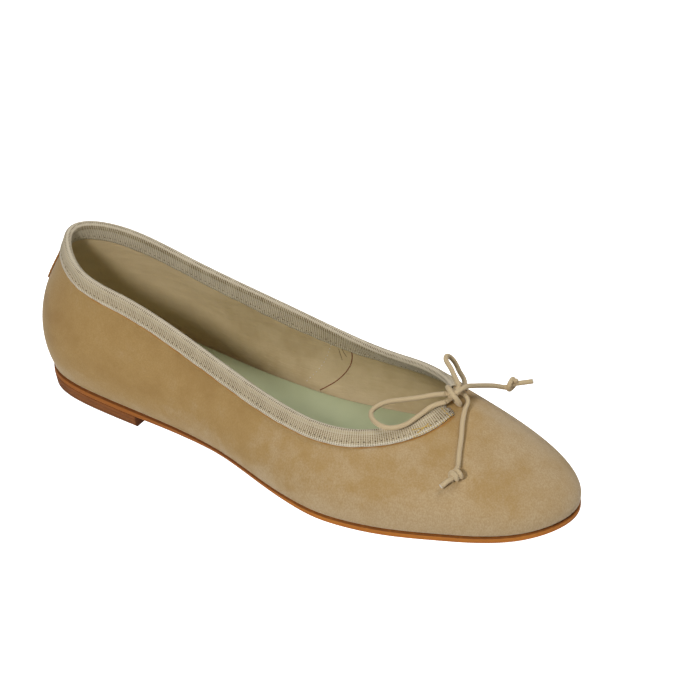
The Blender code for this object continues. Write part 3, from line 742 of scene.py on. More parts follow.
def make_ribbon_cloth():
    made, tree, shader = new_material(
        "woven ribbon", RIBBON_PALE, 0.85, Sheen_Weight=0.15, Specular_IOR_Level=0.2
    )
    uv = put(tree, "ShaderNodeUVMap", uv_map="UVMap").outputs[0]
    split = put(tree, "ShaderNodeSeparateXYZ", {"Vector": uv})
    along, across = split.outputs["X"], split.outputs["Y"]
    place = object_place(tree)
    worn = noise(tree, place, 520.0, 3.0, 0.7)
    wobble = maths(tree, "MULTIPLY", maths(tree, "SUBTRACT", worn, 0.5), 2.6)

    def wave(where, pitch):
        turned = maths(tree, "ADD", maths(tree, "MULTIPLY", where, 2 * math.pi / pitch), wobble)
        return maths(tree, "ADD", maths(tree, "MULTIPLY", maths(tree, "SINE", turned), 0.5), 0.5)

    ribs, warp = wave(along, RIB_PITCH), wave(across, WARP_PITCH)
    open_weave = ramp(tree, noise(tree, place, 150.0, 2.0), 0.35, 0.65, 0.60, 1.0)
    hollow = maths(tree, "MULTIPLY", maths(tree, "SUBTRACT", 1.0, ribs), maths(tree, "SUBTRACT", 1.15, warp))
    gaps = maths(tree, "MULTIPLY", hollow, open_weave)
    colour = tint(tree, ramp(tree, ribs, 0.45, 1.0, 0.0, 0.45), RIBBON_PALE, RIBBON_RIM)
    colour = tint(tree, ramp(tree, gaps, 0.18, 0.78), colour, RIBBON_DEEP)
    rim = ramp(tree, across, BINDING_OUTSIDE - 0.0014, BINDING_OUTSIDE - 0.0006, 0.0, 0.7)
    rim_in = ramp(tree, across, -BINDING_INSIDE + 0.0010, -BINDING_INSIDE + 0.0004, 0.0, 0.35)
    # The fold is paler: a painted highlight along its top.
    fold_highlight = ramp(tree, maths(tree, "ABSOLUTE", across), 0.0009, 0.0004, 0.0, 0.50)
    x = part_of(tree, place, "X")
    # The inner leg is paler towards the heel: painted light, as on the lining there.
    toward_heel = ramp(tree, x, 0.0, -0.07, 0.0, 0.5)
    inner_heel_light = maths(tree, "MULTIPLY", toward_heel, ramp(tree, across, -0.0006, -0.0016))
    rims_and_painted_light = maths(tree, "MAXIMUM", maths(tree, "MAXIMUM", rim, rim_in), maths(tree, "MAXIMUM", fold_highlight, inner_heel_light))
    rims_and_painted_light = maths(tree, "MULTIPLY", rims_and_painted_light, ramp(tree, gaps, 0.8, 0.25, 0.25, 1.0))
    colour = tint(tree, rims_and_painted_light, colour, RIBBON_RIM)
    tree.links.new(colour, shader.inputs["Base Color"])
    fuzz = add_bump(tree, shader, worn, 0.00010, 0.4)
    add_bump(tree, shader, maths(tree, "SUBTRACT", ribs, gaps), 0.00016, 0.7, fuzz)
    return made


RIBBON_CLOTH = make_ribbon_cloth()

LEG_STEPS, FOLD_STEPS = 9, 10
RIBBON_STEPS = TURNS * 44


def waver(along, seed):
    """A slow irregular wave, between about -1 and 1."""
    coarse = np.sin(along * 410 + seed) + np.sin(along * 173 + 2 * seed)
    return (coarse + 0.6 * np.sin(along * 977 + 3 * seed)) / 2.6


def on_wall(turn, depth, out):
    """Points this far below the collar and this far out of the suede."""
    t, u = below_collar(turn, depth)
    return skin(t, u, np.zeros(t.shape) + out)


def make_ribbon():
    first, last = ribbon_span()
    turn = np.linspace(first, last, RIBBON_STEPS + 1)
    along = collar_lengths(turn)
    normal = wall_normal(turn, 1.0)
    ahead = unit(wall(turn + SMALL_TURN, 1.0) - wall(turn - SMALL_TURN, 1.0))
    down = np.cross(ahead, normal)
    middle = skin(turn, 1.0, np.full(turn.shape, -0.5 * UPPER_WALL))
    outer_leg = BINDING_OUTSIDE + 0.00016 * waver(along, 1.0)
    inner_leg = BINDING_INSIDE + 0.00022 * waver(along, 2.0)
    columns, across = [], []
    for j in range(LEG_STEPS):
        share = 1.0 - j / LEG_STEPS
        lift = 0.00007 * waver(along * 2.3, 3.0) * share
        columns.append(on_wall(turn, outer_leg * share, CLEARANCE + lift))
        across.append(outer_leg * share)
    radius = 0.5 * UPPER_WALL + CLEARANCE
    for j in range(FOLD_STEPS + 1):
        angle = math.pi * j / FOLD_STEPS
        columns.append(middle + (normal * math.cos(angle) - down * math.sin(angle)) * radius)
        across.append(np.full(turn.shape, radius * (0.5 * math.pi - angle) * 0.6))
    for j in range(1, LEG_STEPS + 1):
        share = j / LEG_STEPS
        lift = 0.00010 * waver(along * 1.7, 4.0) * share
        columns.append(on_wall(turn, inner_leg * share, -UPPER_WALL - CLEARANCE - lift))
        across.append(-inner_leg * share)
    points = np.stack(columns, 1)
    uv = np.stack([np.repeat(along[:, None], len(columns), 1), np.stack(across, 1)], -1)
    rows, count = points.shape[:2]
    faces = grid_faces(rows, count, False)
    ribbon = add_mesh("ribbon", points.reshape(-1, 3), faces, [RIBBON_CLOTH], uv=uv, merge=False)
    thickness = ribbon.modifiers.new("Thickness", "SOLIDIFY")
    thickness.thickness, thickness.offset = RIBBON, 1.0
    thickness.use_even_offset = True
    apply_modifiers(ribbon)
    return finish_piece(ribbon, "ribbon", "binding")


ribbon = make_ribbon()
print("ribbon:", len(ribbon.data.polygons), "faces")

# %% [markdown]
# ## Stitches
# A row of stitches is one small shape repeated along a path, which is just what Geometry
# Nodes do well: resample the path by length, put a bead on each point, turn it along the
# path. The same tree makes thread (long beads) and the shade of needle holes (round, dark
# beads of painted shade). It ends with Realize Instances and Set Material, so that the
# result is an ordinary mesh.

# %% A row of beads along a path
def make_bead_tree():
    tree = bpy.data.node_groups.new("beads along a path", "GeometryNodeTree")
    tree.interface.new_socket("Geometry", in_out="INPUT", socket_type="NodeSocketGeometry")
    for name, kind in (
        ("Spacing", "NodeSocketFloat"),
        ("Bead", "NodeSocketVector"),
        ("Material", "NodeSocketMaterial"),
    ):
        tree.interface.new_socket(name, in_out="INPUT", socket_type=kind)
    tree.interface.new_socket("Geometry", in_out="OUTPUT", socket_type="NodeSocketGeometry")
    given, out = put(tree, "NodeGroupInput"), put(tree, "NodeGroupOutput")
    given = given.outputs
    path = put(tree, "GeometryNodeMeshToCurve", {"Mesh": given["Geometry"]}).outputs[0]
    spaced = {"Curve": path, "Length": given["Spacing"]}
    even = put(tree, "GeometryNodeResampleCurve", spaced, mode="LENGTH").outputs[0]
    ball = put(tree, "GeometryNodeMeshUVSphere", {"Segments": 8, "Rings": 6, "Radius": 1.0})
    ahead = put(tree, "GeometryNodeInputTangent").outputs[0]
    facing = put(tree, "FunctionNodeAlignRotationToVector", {"Vector": ahead}, axis="X").outputs[0]
    beads = {"Points": even, "Instance": ball.outputs["Mesh"], "Rotation": facing, "Scale": given["Bead"]}
    row = put(tree, "GeometryNodeInstanceOnPoints", beads).outputs[0]
    real = put(tree, "GeometryNodeRealizeInstances", {"Geometry": row}).outputs[0]
    smooth = put(tree, "GeometryNodeSetShadeSmooth", {"Geometry": real}).outputs[0]
    dressed = {"Geometry": smooth, "Material": given["Material"]}
    painted = put(tree, "GeometryNodeSetMaterial", dressed)
    tree.links.new(painted.outputs[0], out.inputs["Geometry"])
    return tree


BEAD_TREE = make_bead_tree()
SOCKETS = {item.name: item.identifier for item in BEAD_TREE.interface.items_tree if item.in_out == "INPUT"}


def bead_row(name, path, spacing, bead, material):
    """A mesh of beads, (length, width, height) in half sizes, along a path."""
    mesh = bpy.data.meshes.new(name)
    mesh.from_pydata([tuple(p) for p in path], [(i, i + 1) for i in range(len(path) - 1)], [])
    made = bpy.data.objects.new(name, mesh)
    bpy.context.scene.collection.objects.link(made)
    modifier = made.modifiers.new("Beads", "NODES")
    modifier.node_group = BEAD_TREE
    modifier[SOCKETS["Spacing"]] = spacing
    modifier[SOCKETS["Bead"]] = bead
    modifier[SOCKETS["Material"]] = material
    return apply_modifiers(made)


def thread_material(name, colour, roughness=0.8):
    made, tree, shader = new_material(name, colour, roughness)
    fibre = noise(tree, object_place(tree), 3000.0, 2.0)
    darker = tuple(c * 0.6 for c in colour)
    tree.links.new(tint(tree, ramp(tree, fibre, 0.3, 0.7), darker, colour), shader.inputs["Base Color"])
    add_bump(tree, shader, fibre, 0.00008, 0.5)
    return made


PALE_THREAD = thread_material("pale thread", (0.52, 0.44, 0.30))
WHITE_THREAD = thread_material("white thread", (0.78, 0.74, 0.66))
OCHRE_THREAD = thread_material("ochre thread", (0.66, 0.42, 0.085))
FAINT_THREAD = thread_material("faint thread", (0.175, 0.115, 0.055))
SEAM_EDGE = thread_material("dark seam line", (0.260, 0.100, 0.045))
# Dark beads that stand for the shade inside needle holes: painted shade.
NEEDLE_HOLE_SHADE = thread_material("needle hole shade", (0.085, 0.050, 0.025), 0.95)

# %% Tubes
def tube(name, path, radius, material, sides=8):
    """A round tube along a path, with UVs in metres along it and round it."""
    path = np.asarray(path, float)
    tangent = unit(np.gradient(path, axis=0))
    side = np.cross(tangent[0], (0.0, 0.0, 1.0) if abs(tangent[0][2]) < 0.9 else (1.0, 0.0, 0.0))
    side = side / np.linalg.norm(side)
    sides_at = []
    for t in tangent:
        side = side - t * side.dot(t)
        side = side / np.linalg.norm(side)
        sides_at.append(side)
    sides_at = np.array(sides_at)
    over = np.cross(tangent, sides_at)
    radius = np.broadcast_to(radius, len(path))[:, None, None]
    angle = np.linspace(0.0, 2 * math.pi, sides + 1)[None, :, None]
    ring = path[:, None] + (sides_at[:, None] * np.cos(angle) + over[:, None] * np.sin(angle)) * radius
    length = running_length(path)
    uv = np.stack(np.broadcast_arrays(length[:, None], angle[..., 0] / (2 * math.pi)), -1)
    points = np.concatenate([ring.reshape(-1, 3), path[:1], path[-1:]])
    uv = np.concatenate([uv.reshape(-1, 2), [[0.0, 0.5], [length[-1], 0.5]]])
    count = sides + 1
    faces = [face[::-1] for face in grid_faces(len(path), count, False)]
    start, end, last = len(path) * count, len(path) * count + 1, (len(path) - 1) * count
    faces += [(start, j, j + 1) for j in range(sides)]
    faces += [(end, last + j + 1, last + j) for j in range(sides)]
    made = add_mesh(name, points, faces, [material], uv=uv)
    reworked(made.data, lambda shape: bmesh.ops.recalc_face_normals(shape, faces=shape.faces))
    return made


def join(name, parts, material):
    """One mesh object of several tubes."""
    merged = bmesh.new()
    for part in parts:
        merged.from_mesh(part.data)
        bpy.data.objects.remove(part)
    mesh = bpy.data.meshes.new(name)
    merged.to_mesh(mesh)
    merged.free()
    mesh.materials.append(material)
    mesh.shade_smooth()
    made = bpy.data.objects.new(name, mesh)
    bpy.context.scene.collection.objects.link(made)
    return made


# %% Stitches of the ribbon
STITCH_PITCH, STITCH_UP = 0.00228, 0.0019
# Half sizes of the beads: along the row, across it and up.
HOLE_BEAD, STITCH_BEAD = (0.00036, 0.00024, 0.00024), (0.00075, 0.00017, 0.00017)
OCHRE_BEAD = (0.00050, 0.00024, 0.00024)
LINING_BEAD, TAB_BEAD = (0.00038, 0.00014, 0.00014), (0.0009, 0.00018, 0.00018)
RIBBON_FACE = CLEARANCE + RIBBON


def ribbon_path(depth, out, phase=0.0):
    """A path on the ribbon's outer face (or inner, for a negative depth)."""
    first, last = ribbon_span()
    turn = np.linspace(first + 0.01, last - 0.01, 2400)
    path = on_wall(turn, abs(depth), RIBBON_FACE + out if depth > 0 else -UPPER_WALL - RIBBON_FACE - out)
    length = running_length(path)
    return path[length >= phase * STITCH_PITCH]


def make_ribbon_stitches():
    for side, depth in (("outside", BINDING_OUTSIDE - STITCH_UP), ("inside", STITCH_UP - BINDING_INSIDE)):
        for name, out, phase, bead, material in (
            ("needle_hole_shades", -0.00010, 0.0, HOLE_BEAD, NEEDLE_HOLE_SHADE),
            ("stitches", -0.00009, 0.5, STITCH_BEAD, PALE_THREAD),
        ):
            row = bead_row(f"{name}_{side}", ribbon_path(depth, out, phase), STITCH_PITCH, bead, material)
            finish_piece(row, "ribbon")


make_ribbon_stitches()

# %% [markdown]
# The ribbon is cut off at the throat. The outer cut end shows: white threads fray from it,
# and a few ochre stitches tack it down. The seed keeps the fray the same on every run.

# %% Frayed end
def make_fray():
    last = ribbon_span()[1]
    here, ahead = wall(last, 1.0), unit(wall(last + SMALL_TURN, 1.0) - wall(last - SMALL_TURN, 1.0))
    turn_per_metre = SMALL_TURN / np.linalg.norm(wall(last + SMALL_TURN, 1.0) - here)
    out = wall_normal(last, 1.0)
    random = np.random.default_rng(7)
    threads = []
    for depth in np.linspace(0.0002, BINDING_OUTSIDE - 0.0001, 22):
        root = on_wall(np.array([last]), depth, CLEARANCE + RIBBON * random.uniform(0.3, 0.9))[0]
        reach, swing = random.uniform(0.0004, 0.0013), random.normal(0.0, 0.00018, 3)
        steps = [(-0.0008, 0.0), (0.0, 0.0), (0.5, 0.4), (1.0, 1.0)]
        path = [root + ahead * (a if a <= 0 else a * reach) + (swing - out * 0.0002) * b for a, b in steps]
        threads.append(tube("thread", path, random.uniform(0.00008, 0.00014), WHITE_THREAD, 6))
    finish_piece(join("frayed_threads", threads, WHITE_THREAD), "ribbon")
    # Each row of ochre stitches: how far back from the cut end it starts and ends, the depths
    # below the collar between which it runs, its number of points and its spacing.
    for name, back, depths, count, spacing in (
        ("ochre_tack", (0.0013, 0.0013), (0.0008, BINDING_OUTSIDE - 0.0006), 40, 0.0011),
        ("ochre_rim", (0.0135, 0.0002), (BINDING_OUTSIDE - 0.0002, BINDING_OUTSIDE - 0.0002), 120, 0.0012),
        ("ochre_patch", (0.0130, 0.0080), (0.0024, 0.0038), 40, 0.0008),
        ("ochre_cross", (0.0120, 0.0085), (0.0042, 0.0028), 40, 0.0008),
    ):
        turn = last - np.linspace(*back, count) * turn_per_metre
        path = on_wall(turn, np.linspace(*depths, count), RIBBON_FACE - 0.00006)
        finish_piece(bead_row(name, path, spacing, OCHRE_BEAD, OCHRE_THREAD), "ribbon")


make_fray()

# %% [markdown]
# ## Seam in the lining
# On the inner side, the lining's two halves overlap in a curved edge, drawn as a thin dark
# brown tube, with a row of small stitches behind it. Each follows a short table of places on the wall.

# %% Lining seam
SEAM = (
    (10.37, 1.00), (10.43, 0.89), (10.56, 0.66), (10.68, 0.42),
    (10.76, 0.26), (10.85, 0.12), (10.92, 0.015),
)  # fmt: skip
DOTS = ((10.60, 0.85), (10.73, 0.67), (10.82, 0.48), (10.90, 0.31), (10.96, 0.17), (11.01, 0.06))
TACKS = (((10.64, 0.71), (10.67, 0.62), (10.70, 0.51)), ((10.57, 0.78), (10.61, 0.70), (10.63, 0.60)))


def wall_path(table, out, steps=160):
    """A smooth path on the wall through a short table of (turn, up)."""
    rows = np.array(table)
    share = np.linspace(0.0, 1.0, len(rows))
    fine = np.linspace(0.0, 1.0, steps)
    turn, up = (np.polynomial.Polynomial.fit(share, rows[:, k], min(4, len(rows) - 1))(fine) for k in (0, 1))
    return skin(turn, up, np.full(turn.shape, out))


def make_lining_seam():
    seam = tube("lining_seam", wall_path(SEAM, -UPPER_WALL - 0.00002), 0.00024, SEAM_EDGE)
    finish_piece(seam, "suede")
    dots = bead_row("lining_stitches", wall_path(DOTS, -UPPER_WALL), 0.0019, LINING_BEAD, WHITE_THREAD)
    finish_piece(dots, "suede")
    for i, table in enumerate(TACKS):
        tack = tube(f"lining_tack_{i}", wall_path(table, -UPPER_WALL + 0.00004, 20), 0.00016, FAINT_THREAD)
        finish_piece(tack, "suede")


make_lining_seam()

# %% [markdown]
# ## Sole, heel and insole
# These are flat-cut pieces with shaped edges. Each is a stack of outlines, from the bottom
# rim to the top rim, filled with a grid above and below. Cutting them finer than the packed
# solids keeps the long curves of the edge smooth in close views.

# %% Plates
def paired(turns, inset):
    """(outer side, inner side) points of the foot's edge, heel to toe."""

    def side(places):
        along = last_at(places)[0][..., 0] / LENGTH
        return feather(places, inset(along) if callable(inset) else inset)

    return side(turns), side((TURNS - turns) % TURNS)


def plate(name, levels, columns, materials, attribute_name="edge_rise"):
    """A slab from levels of (outer points, inner points, height function), bottom to top."""
    count, shares = len(levels), np.linspace(0.0, 1.0, columns + 1)[None, :, None]
    grids = []
    for outer, inner, height in levels:
        grid = outer[:, None] * (1.0 - shares) + inner[:, None] * shares
        grid[..., 2] = height(grid[..., 0] - HEEL_END[0], grid[..., 1])
        grids.append(grid)
    rows = grids[0].shape[0]
    points = np.concatenate([grid.reshape(-1, 3) for grid in grids])
    rise = np.repeat(np.linspace(0.0, 1.0, count), rows * (columns + 1))
    width = columns + 1

    def at(level, row, column):
        return level * rows * width + row * width + column

    rim = [(row, 0) for row in range(rows - 1)]
    rim += [(rows - 1, column) for column in range(columns)]
    rim += [(row, columns) for row in range(rows - 1, 0, -1)]
    rim += [(0, column) for column in range(columns, 0, -1)]
    faces = []
    for row in range(rows - 1):
        for column in range(columns):
            corners = ((row, column), (row + 1, column), (row + 1, column + 1), (row, column + 1))
            faces.append([at(count - 1, *corner) for corner in corners])
            faces.append([at(0, *corner) for corner in corners[::-1]])
    for level in range(count - 1):
        for here, there in zip(rim, rim[1:] + rim[:1]):
            faces.append([at(level, *here), at(level, *there), at(level + 1, *there), at(level + 1, *here)])
    return add_mesh(name, points, faces, materials, {attribute_name: rise})


def sole_top(x, y=0.0):
    return underside(x) - CLEARANCE


def sole_bottom(x, y=0.0):
    return sole_top(x) - SOLE_THICKNESS + WAIST_BEVEL * 0.5 * waist(x / LENGTH)


EDGE_STEPS = 8
SIDE_TURNS = np.linspace(0.0, TOE_ROW, TOE_ROW * 40 + 1)


def make_outsole(material):
    def top_inset(along):
        return WAIST_TUCK * waist(along) - SOLE_EDGE

    levels = []
    for step in range(EDGE_STEPS + 1):
        rise = step / EDGE_STEPS
        rounding = SOLE_ROUNDING * (1.0 - math.sqrt(max(0.0, 1.0 - (1.0 - min(rise * 2.5, 1.0)) ** 2)))
        over = 0.00012 * max(0.0, (rise - 0.8) / 0.2) ** 2

        def inset(along, rounding=rounding, rise=rise, over=over):
            return top_inset(along) + rounding + over + WAIST_BEVEL * waist(along) * (1.0 - rise)

        def height(x, y, rise=rise):
            return sole_bottom(x) + (sole_top(x) - sole_bottom(x)) * rise

        levels.append((*paired(SIDE_TURNS, inset), height))
    sole = plate("leather_sole", levels, 12, [material])
    finish_piece(sole, "sole_leather", "outsole")


def turn_at(x, first, last):
    """The place between two others where the foot's edge crosses x."""
    for _ in range(40):
        middle = 0.5 * (first + last)
        here, start = (last_at(np.array(place))[0][0] - x for place in (middle, first))
        if here * start <= 0:
            last = middle
        else:
            first = middle
    return 0.5 * (first + last)


HEEL_LIFTS = (0.0, 0.06, 0.28, 0.30, 0.32, 0.62, 0.64, 0.66, 0.96, 1.0)
HEEL_GROOVES = (0.0004, 0.0, 0.0, 0.00012, 0.0, 0.0, 0.0001, 0.0, 0.0, 0.0002)


def make_heel(material):
    outer = turn_at(HEEL_DEPTH, 0.0, TOE_ROW)
    inner = TURNS - turn_at(HEEL_DEPTH, TURNS - 0.001, TOE_ROW)
    share = np.linspace(0.0, 1.0, 90)
    levels = []
    for rise, groove in zip(HEEL_LIFTS, HEEL_GROOVES):
        inset = HEEL_TAPER * (1.0 - rise) - SOLE_EDGE + groove

        def height(x, y, rise=rise):
            return (sole_bottom(x) - CLEARANCE * 0.2) * rise

        sides = (feather(outer * share, inset), feather((-inner * share) % TURNS, inset))
        levels.append((*sides, height))
    heel = plate("stacked_heel", levels, 16, [material], "heel_rise")
    finish_piece(heel, "heel_leather", "heel")


def make_insole(material):
    def bottom(x):
        return underside(x) + UPPER_WALL + 0.0001

    levels = []
    for step in range(7):
        angle = 0.5 * math.pi * step / 6
        inset = UPPER_WALL + INSOLE_GAP + INSOLE_ROUNDING * (1.0 - math.cos(angle))

        def height(x, y, angle=angle):
            return bottom(x) + 0.0006 + (INSOLE_THICKNESS - 0.0004) * math.sin(angle)

        levels.append((*paired(SIDE_TURNS, inset), height))
    insole = plate("sock_insole", levels, 24, [material])
    finish_piece(insole, "insole_leather", "insole")


# %% [markdown]
# ## Finishes of the sole, the heel and the insole
# The sole's edge is stained leather, waxed until it shines softly, with a dark line of painted
# shade where it meets the suede. The heel is stacked from leather lifts and stained darker, and
# its front face is painted darker still, as shade. The insole is a thin sage green sock with
# hardly any grain.

# %% Sole leather
SOLE_PALE, SOLE_MID, SOLE_DARK = (0.540, 0.205, 0.038), (0.400, 0.130, 0.020), (0.085, 0.028, 0.010)


def make_sole_leather():
    made, tree, shader = new_material("sole leather", SOLE_MID, 0.55, Specular_IOR_Level=0.12)
    place = object_place(tree)
    mask = clouds(tree, place, 60.0, 260.0, 1.6)
    colour = tint(tree, mask, SOLE_MID, SOLE_PALE)
    back = ramp(tree, part_of(tree, place, "X"), 0.045, -0.03, 0.0, 0.80)
    colour = tint(tree, back, colour, (0.330, 0.110, 0.024))
    # Painted shade: a ragged dark line at the top of the edge, in the crevice against the suede.
    crevice_shade = ramp(tree, attribute(tree, "edge_rise"), 0.92, 0.99, 0.0, 0.6)
    ragged = maths(tree, "MULTIPLY", crevice_shade, ramp(tree, noise(tree, place, 420.0, 2.0), 0.30, 0.50, 0.7, 1.0))
    colour = tint(tree, ragged, colour, SOLE_DARK)
    tree.links.new(colour, shader.inputs["Base Color"])
    layers = noise(tree, place, 300.0, 3.0, 0.6, (0.3, 0.3, 6.0))
    rough = add_bump(tree, shader, layers, 0.00012, 0.4)
    add_bump(tree, shader, noise(tree, place, 1400.0, 2.0), 0.00005, 0.4, rough)
    tree.links.new(ramp(tree, mask, 0.2, 0.8, 0.48, 0.65), shader.inputs["Roughness"])
    return made


def make_heel_leather():
    made, tree, shader = new_material("heel leather", (0.16, 0.06, 0.024), 0.60, Specular_IOR_Level=0.08)
    place = object_place(tree)
    mask = clouds(tree, place, 50.0, 240.0, 1.8)
    colour = tint(tree, mask, (0.185, 0.066, 0.022), (0.320, 0.120, 0.040))
    rise = attribute(tree, "heel_rise")
    lifts = maths(tree, "SINE", maths(tree, "MULTIPLY", rise, 18.0))
    colour = tint(tree, ramp(tree, lifts, 0.80, 1.0, 0.0, 0.30), colour, SOLE_DARK)
    low = ramp(tree, rise, 0.30, 0.20, 0.0, 0.25)
    colour = tint(tree, low, colour, (0.08, 0.034, 0.016))
    # Painted shade: the heel's front face is darkened.
    front = HEEL_END[0] + HEEL_DEPTH
    breast_shade = ramp(tree, part_of(tree, place, "X"), front - 0.0008, front - 0.0001, 0.0, 0.85)
    colour = tint(tree, breast_shade, colour, SOLE_DARK)
    tree.links.new(colour, shader.inputs["Base Color"])
    layers = noise(tree, place, 300.0, 3.0, 0.6, (0.3, 0.3, 5.0))
    add_bump(tree, shader, layers, 0.00015, 0.45)
    return made


def make_insole_leather():
    made, tree, shader = new_material("insole leather", (0.27, 0.30, 0.17), 0.50, Specular_IOR_Level=0.3)
    place = object_place(tree)
    mask = clouds(tree, place, 22.0, 90.0, 1.2)
    colour = tint(tree, mask, (0.480, 0.540, 0.325), (0.615, 0.670, 0.435))
    tree.links.new(colour, shader.inputs["Base Color"])
    pores = put(tree, "ShaderNodeTexVoronoi", {"Vector": place, "Scale": 1500.0}).outputs["Distance"]
    grain = add_bump(tree, shader, pores, 0.00006, 0.3)
    add_bump(tree, shader, noise(tree, place, 70.0, 2.0), 0.0007, 0.25, grain)
    return made


make_outsole(make_sole_leather())
make_heel(make_heel_leather())
make_insole(make_insole_leather())

# %% [markdown]
# ## Heel tab
# The back seam is covered by a bell-shaped tab of the same suede. It is cut, not folded,
# its cut edge is coloured dark brown, and one row of stitches holds it.

# %% Heel tab
TAB_STEPS, TAB_GAP = 40, 0.00008


def on_tab(share, down, out):
    """Points of the tab: share is -1 to 1 across it, down 0 at the ribbon to 1 at its bottom."""
    here, there = wall(np.array([-0.05, 0.05]), 0.8)
    turn_per_metre = 0.1 / np.linalg.norm(there - here)
    fall = (TAB_HEIGHT - TAB_CURVE * (1.0 - np.sqrt(np.maximum(1.0 - share**2, 0.0)))) * down
    wide = TAB_TOP + (TAB_WIDTH - TAB_TOP) * (fall / TAB_HEIGHT) ** 2
    return on_wall(0.5 * wide * share * turn_per_metre, BINDING_OUTSIDE - 0.001 + fall + 0.001 * down, out)


def make_tab():
    cut_edge, tree, shader = new_material("dark brown cut edge", (0.235, 0.088, 0.026), 0.7)
    fibre = noise(tree, object_place(tree), 900.0, 3.0)
    tree.links.new(tint(tree, fibre, (0.27, 0.105, 0.012), (0.40, 0.165, 0.020)), shader.inputs["Base Color"])
    share = np.cos(np.linspace(0.0, math.pi, TAB_STEPS + 1))[:, None]
    down = np.linspace(1.0, 0.0, TAB_STEPS // 2 + 1)[None, :]
    points = on_tab(share + 0 * down, down + 0 * share, TAB_GAP)[::-1]
    rows, columns = points.shape[:2]
    far = np.ones((rows, columns))
    tab = add_mesh(
        "suede_tab",
        points.reshape(-1, 3),
        grid_faces(rows, columns, False),
        [SUEDE, cut_edge],
        {"below_ribbon": far, "above_sole": far},
        merge=False,
    )
    thickness = tab.modifiers.new("Thickness", "SOLIDIFY")
    thickness.thickness, thickness.offset = TAB_LEATHER, 1.0
    thickness.material_offset_rim = 1
    apply_modifiers(tab)
    finish_piece(tab, "tab_leather", "heel_tab")
    side, inset = np.linspace(0.10, 0.90, 60), 0.84
    bottom = np.cos(np.linspace(math.pi, 0.0, 80))[1:-1]
    share = np.concatenate([np.full(60, -1.0), bottom, np.full(60, 1.0)]) * inset
    down = np.concatenate([side, np.full(78, 0.90), side[::-1]])
    path = on_tab(share, down, TAB_GAP + TAB_LEATHER - 0.00008)
    finish_piece(bead_row("tab_stitches", path, 0.0026, TAB_BEAD, PALE_THREAD), "tab_leather")


make_tab()

# %% [markdown]
# ## Bow
# A drawstring runs in the ribbon's fold and is tied at the throat. The cord is round, two
# millimetres thick and limp, with a fine diagonal braid. Each free stretch is a tube along
# a smooth route: two loops and two tails. The routes start at the knot, whose wraps are
# tubes too, and the tails end in small overhand knots with a short end beyond.

# %% Cord
CORD_PALE, CORD_DEEP = (0.560, 0.435, 0.260), (0.370, 0.260, 0.130)


def make_cord_cloth():
    made, tree, shader = new_material(
        "braided cord", CORD_PALE, 0.8, Sheen_Weight=0.12, Specular_IOR_Level=0.25
    )
    uv = put(tree, "ShaderNodeUVMap", uv_map="UVMap").outputs[0]
    split = put(tree, "ShaderNodeSeparateXYZ", {"Vector": uv})
    along = maths(tree, "MULTIPLY", split.outputs["X"], 2 * math.pi / 0.00060)
    round_it = maths(tree, "MULTIPLY", split.outputs["Y"], 2 * math.pi * 8)
    one = maths(tree, "SINE", maths(tree, "ADD", along, round_it))
    two = maths(tree, "SINE", maths(tree, "SUBTRACT", along, round_it))
    braid = maths(tree, "ADD", maths(tree, "MULTIPLY", maths(tree, "MAXIMUM", one, two), 0.5), 0.5)
    place = object_place(tree)
    worn = noise(tree, place, 700.0, 3.0, 0.6)
    shade = maths(tree, "MULTIPLY", braid, maths(tree, "ADD", maths(tree, "MULTIPLY", worn, 0.6), 0.6))
    colour = tint(tree, ramp(tree, shade, 0.0, 0.6, 0.45, 1.0), CORD_DEEP, CORD_PALE)
    tree.links.new(colour, shader.inputs["Base Color"])
    fuzz = add_bump(tree, shader, worn, 0.00010, 0.4)
    add_bump(tree, shader, braid, 0.00005, 0.6, fuzz)
    return made


CORD_CLOTH = make_cord_cloth()

# %% Routes of the bow, in millimetres from the middle of its knot
KNOT_MIDDLE = wall(float(TOE_ROW), 1.0) + np.array([2.6, -4.1, 2.9]) * MM
# The wrap lies over the other strands: (along it, out of the knot) in millimetres.
WRAP_ALONG, WRAP_OUT, WRAP_SLIP = (0.767, -0.017, -0.642), (0.449, -0.700, 0.555), (-0.46, -0.72, -0.53)
WRAP = (
    (0.0, -3.2), (-2.9, -2.2), (-4.0, 1.0), (-3.1, 4.4), (0.0, 6.3),
    (3.1, 4.6), (4.1, 1.2), (3.0, -1.9), (0.2, -3.0),
)  # fmt: skip
LOOP_OUTER = (
    (-2.2, -3.1, 1.6), (-7.0, -3.6, -0.3), (-12.0, -6.3, -1.7),
    (-17.5, -8.7, -3.2), (-23.0, -11.0, -4.7),
    (-26.4, -13.7, -6.2), (-27.4, -17.4, -7.2), (-25.0, -20.9, -7.6),
    (-20.1, -23.2, -7.6), (-15.7, -21.9, -8.1),
    (-11.5, -18.2, -7.3), (-8.5, -12.8, -5.2), (-5.8, -7.6, -3.0), (-1.0, -4.6, -0.8),
)  # fmt: skip
LOOP_INNER = (
    (0.9, 2.7, 2.7), (-3.0, 5.7, 4.0), (-6.5, 8.6, 5.2), (-10.2, 11.3, 6.1),
    (-11.6, 13.7, 6.2), (-11.9, 16.1, 4.9),
    (-11.0, 17.6, 2.9), (-9.3, 17.7, 0.8), (-7.2, 16.3, -0.6), (-3.4, 13.4, -1.4),
    (-0.6, 9.4, -1.0), (1.2, 5.2, 0.0),
)  # fmt: skip
TAIL_OUTER = (
    (3.5, 2.9, -0.9), (4.9, 2.0, -2.8), (5.4, -0.9, -4.6), (7.1, -5.8, -7.2), (9.5, -10.9, -10.5),
    (11.5, -15.9, -13.9), (13.5, -20.3, -16.9),
)  # fmt: skip
TAIL_INNER = (
    (2.2, -3.4, 3.3), (3.4, -0.4, 4.2), (3.8, 3.8, 3.2), (3.5, 10.4, -0.6), (4.0, 17.6, -4.6),
    (5.3, 23.2, -7.6), (7.0, 27.6, -10.3),
)  # fmt: skip
EndKnot = namedtuple("EndKnot", "side place axis tail_end reach wrap_axis radius turns pitch")
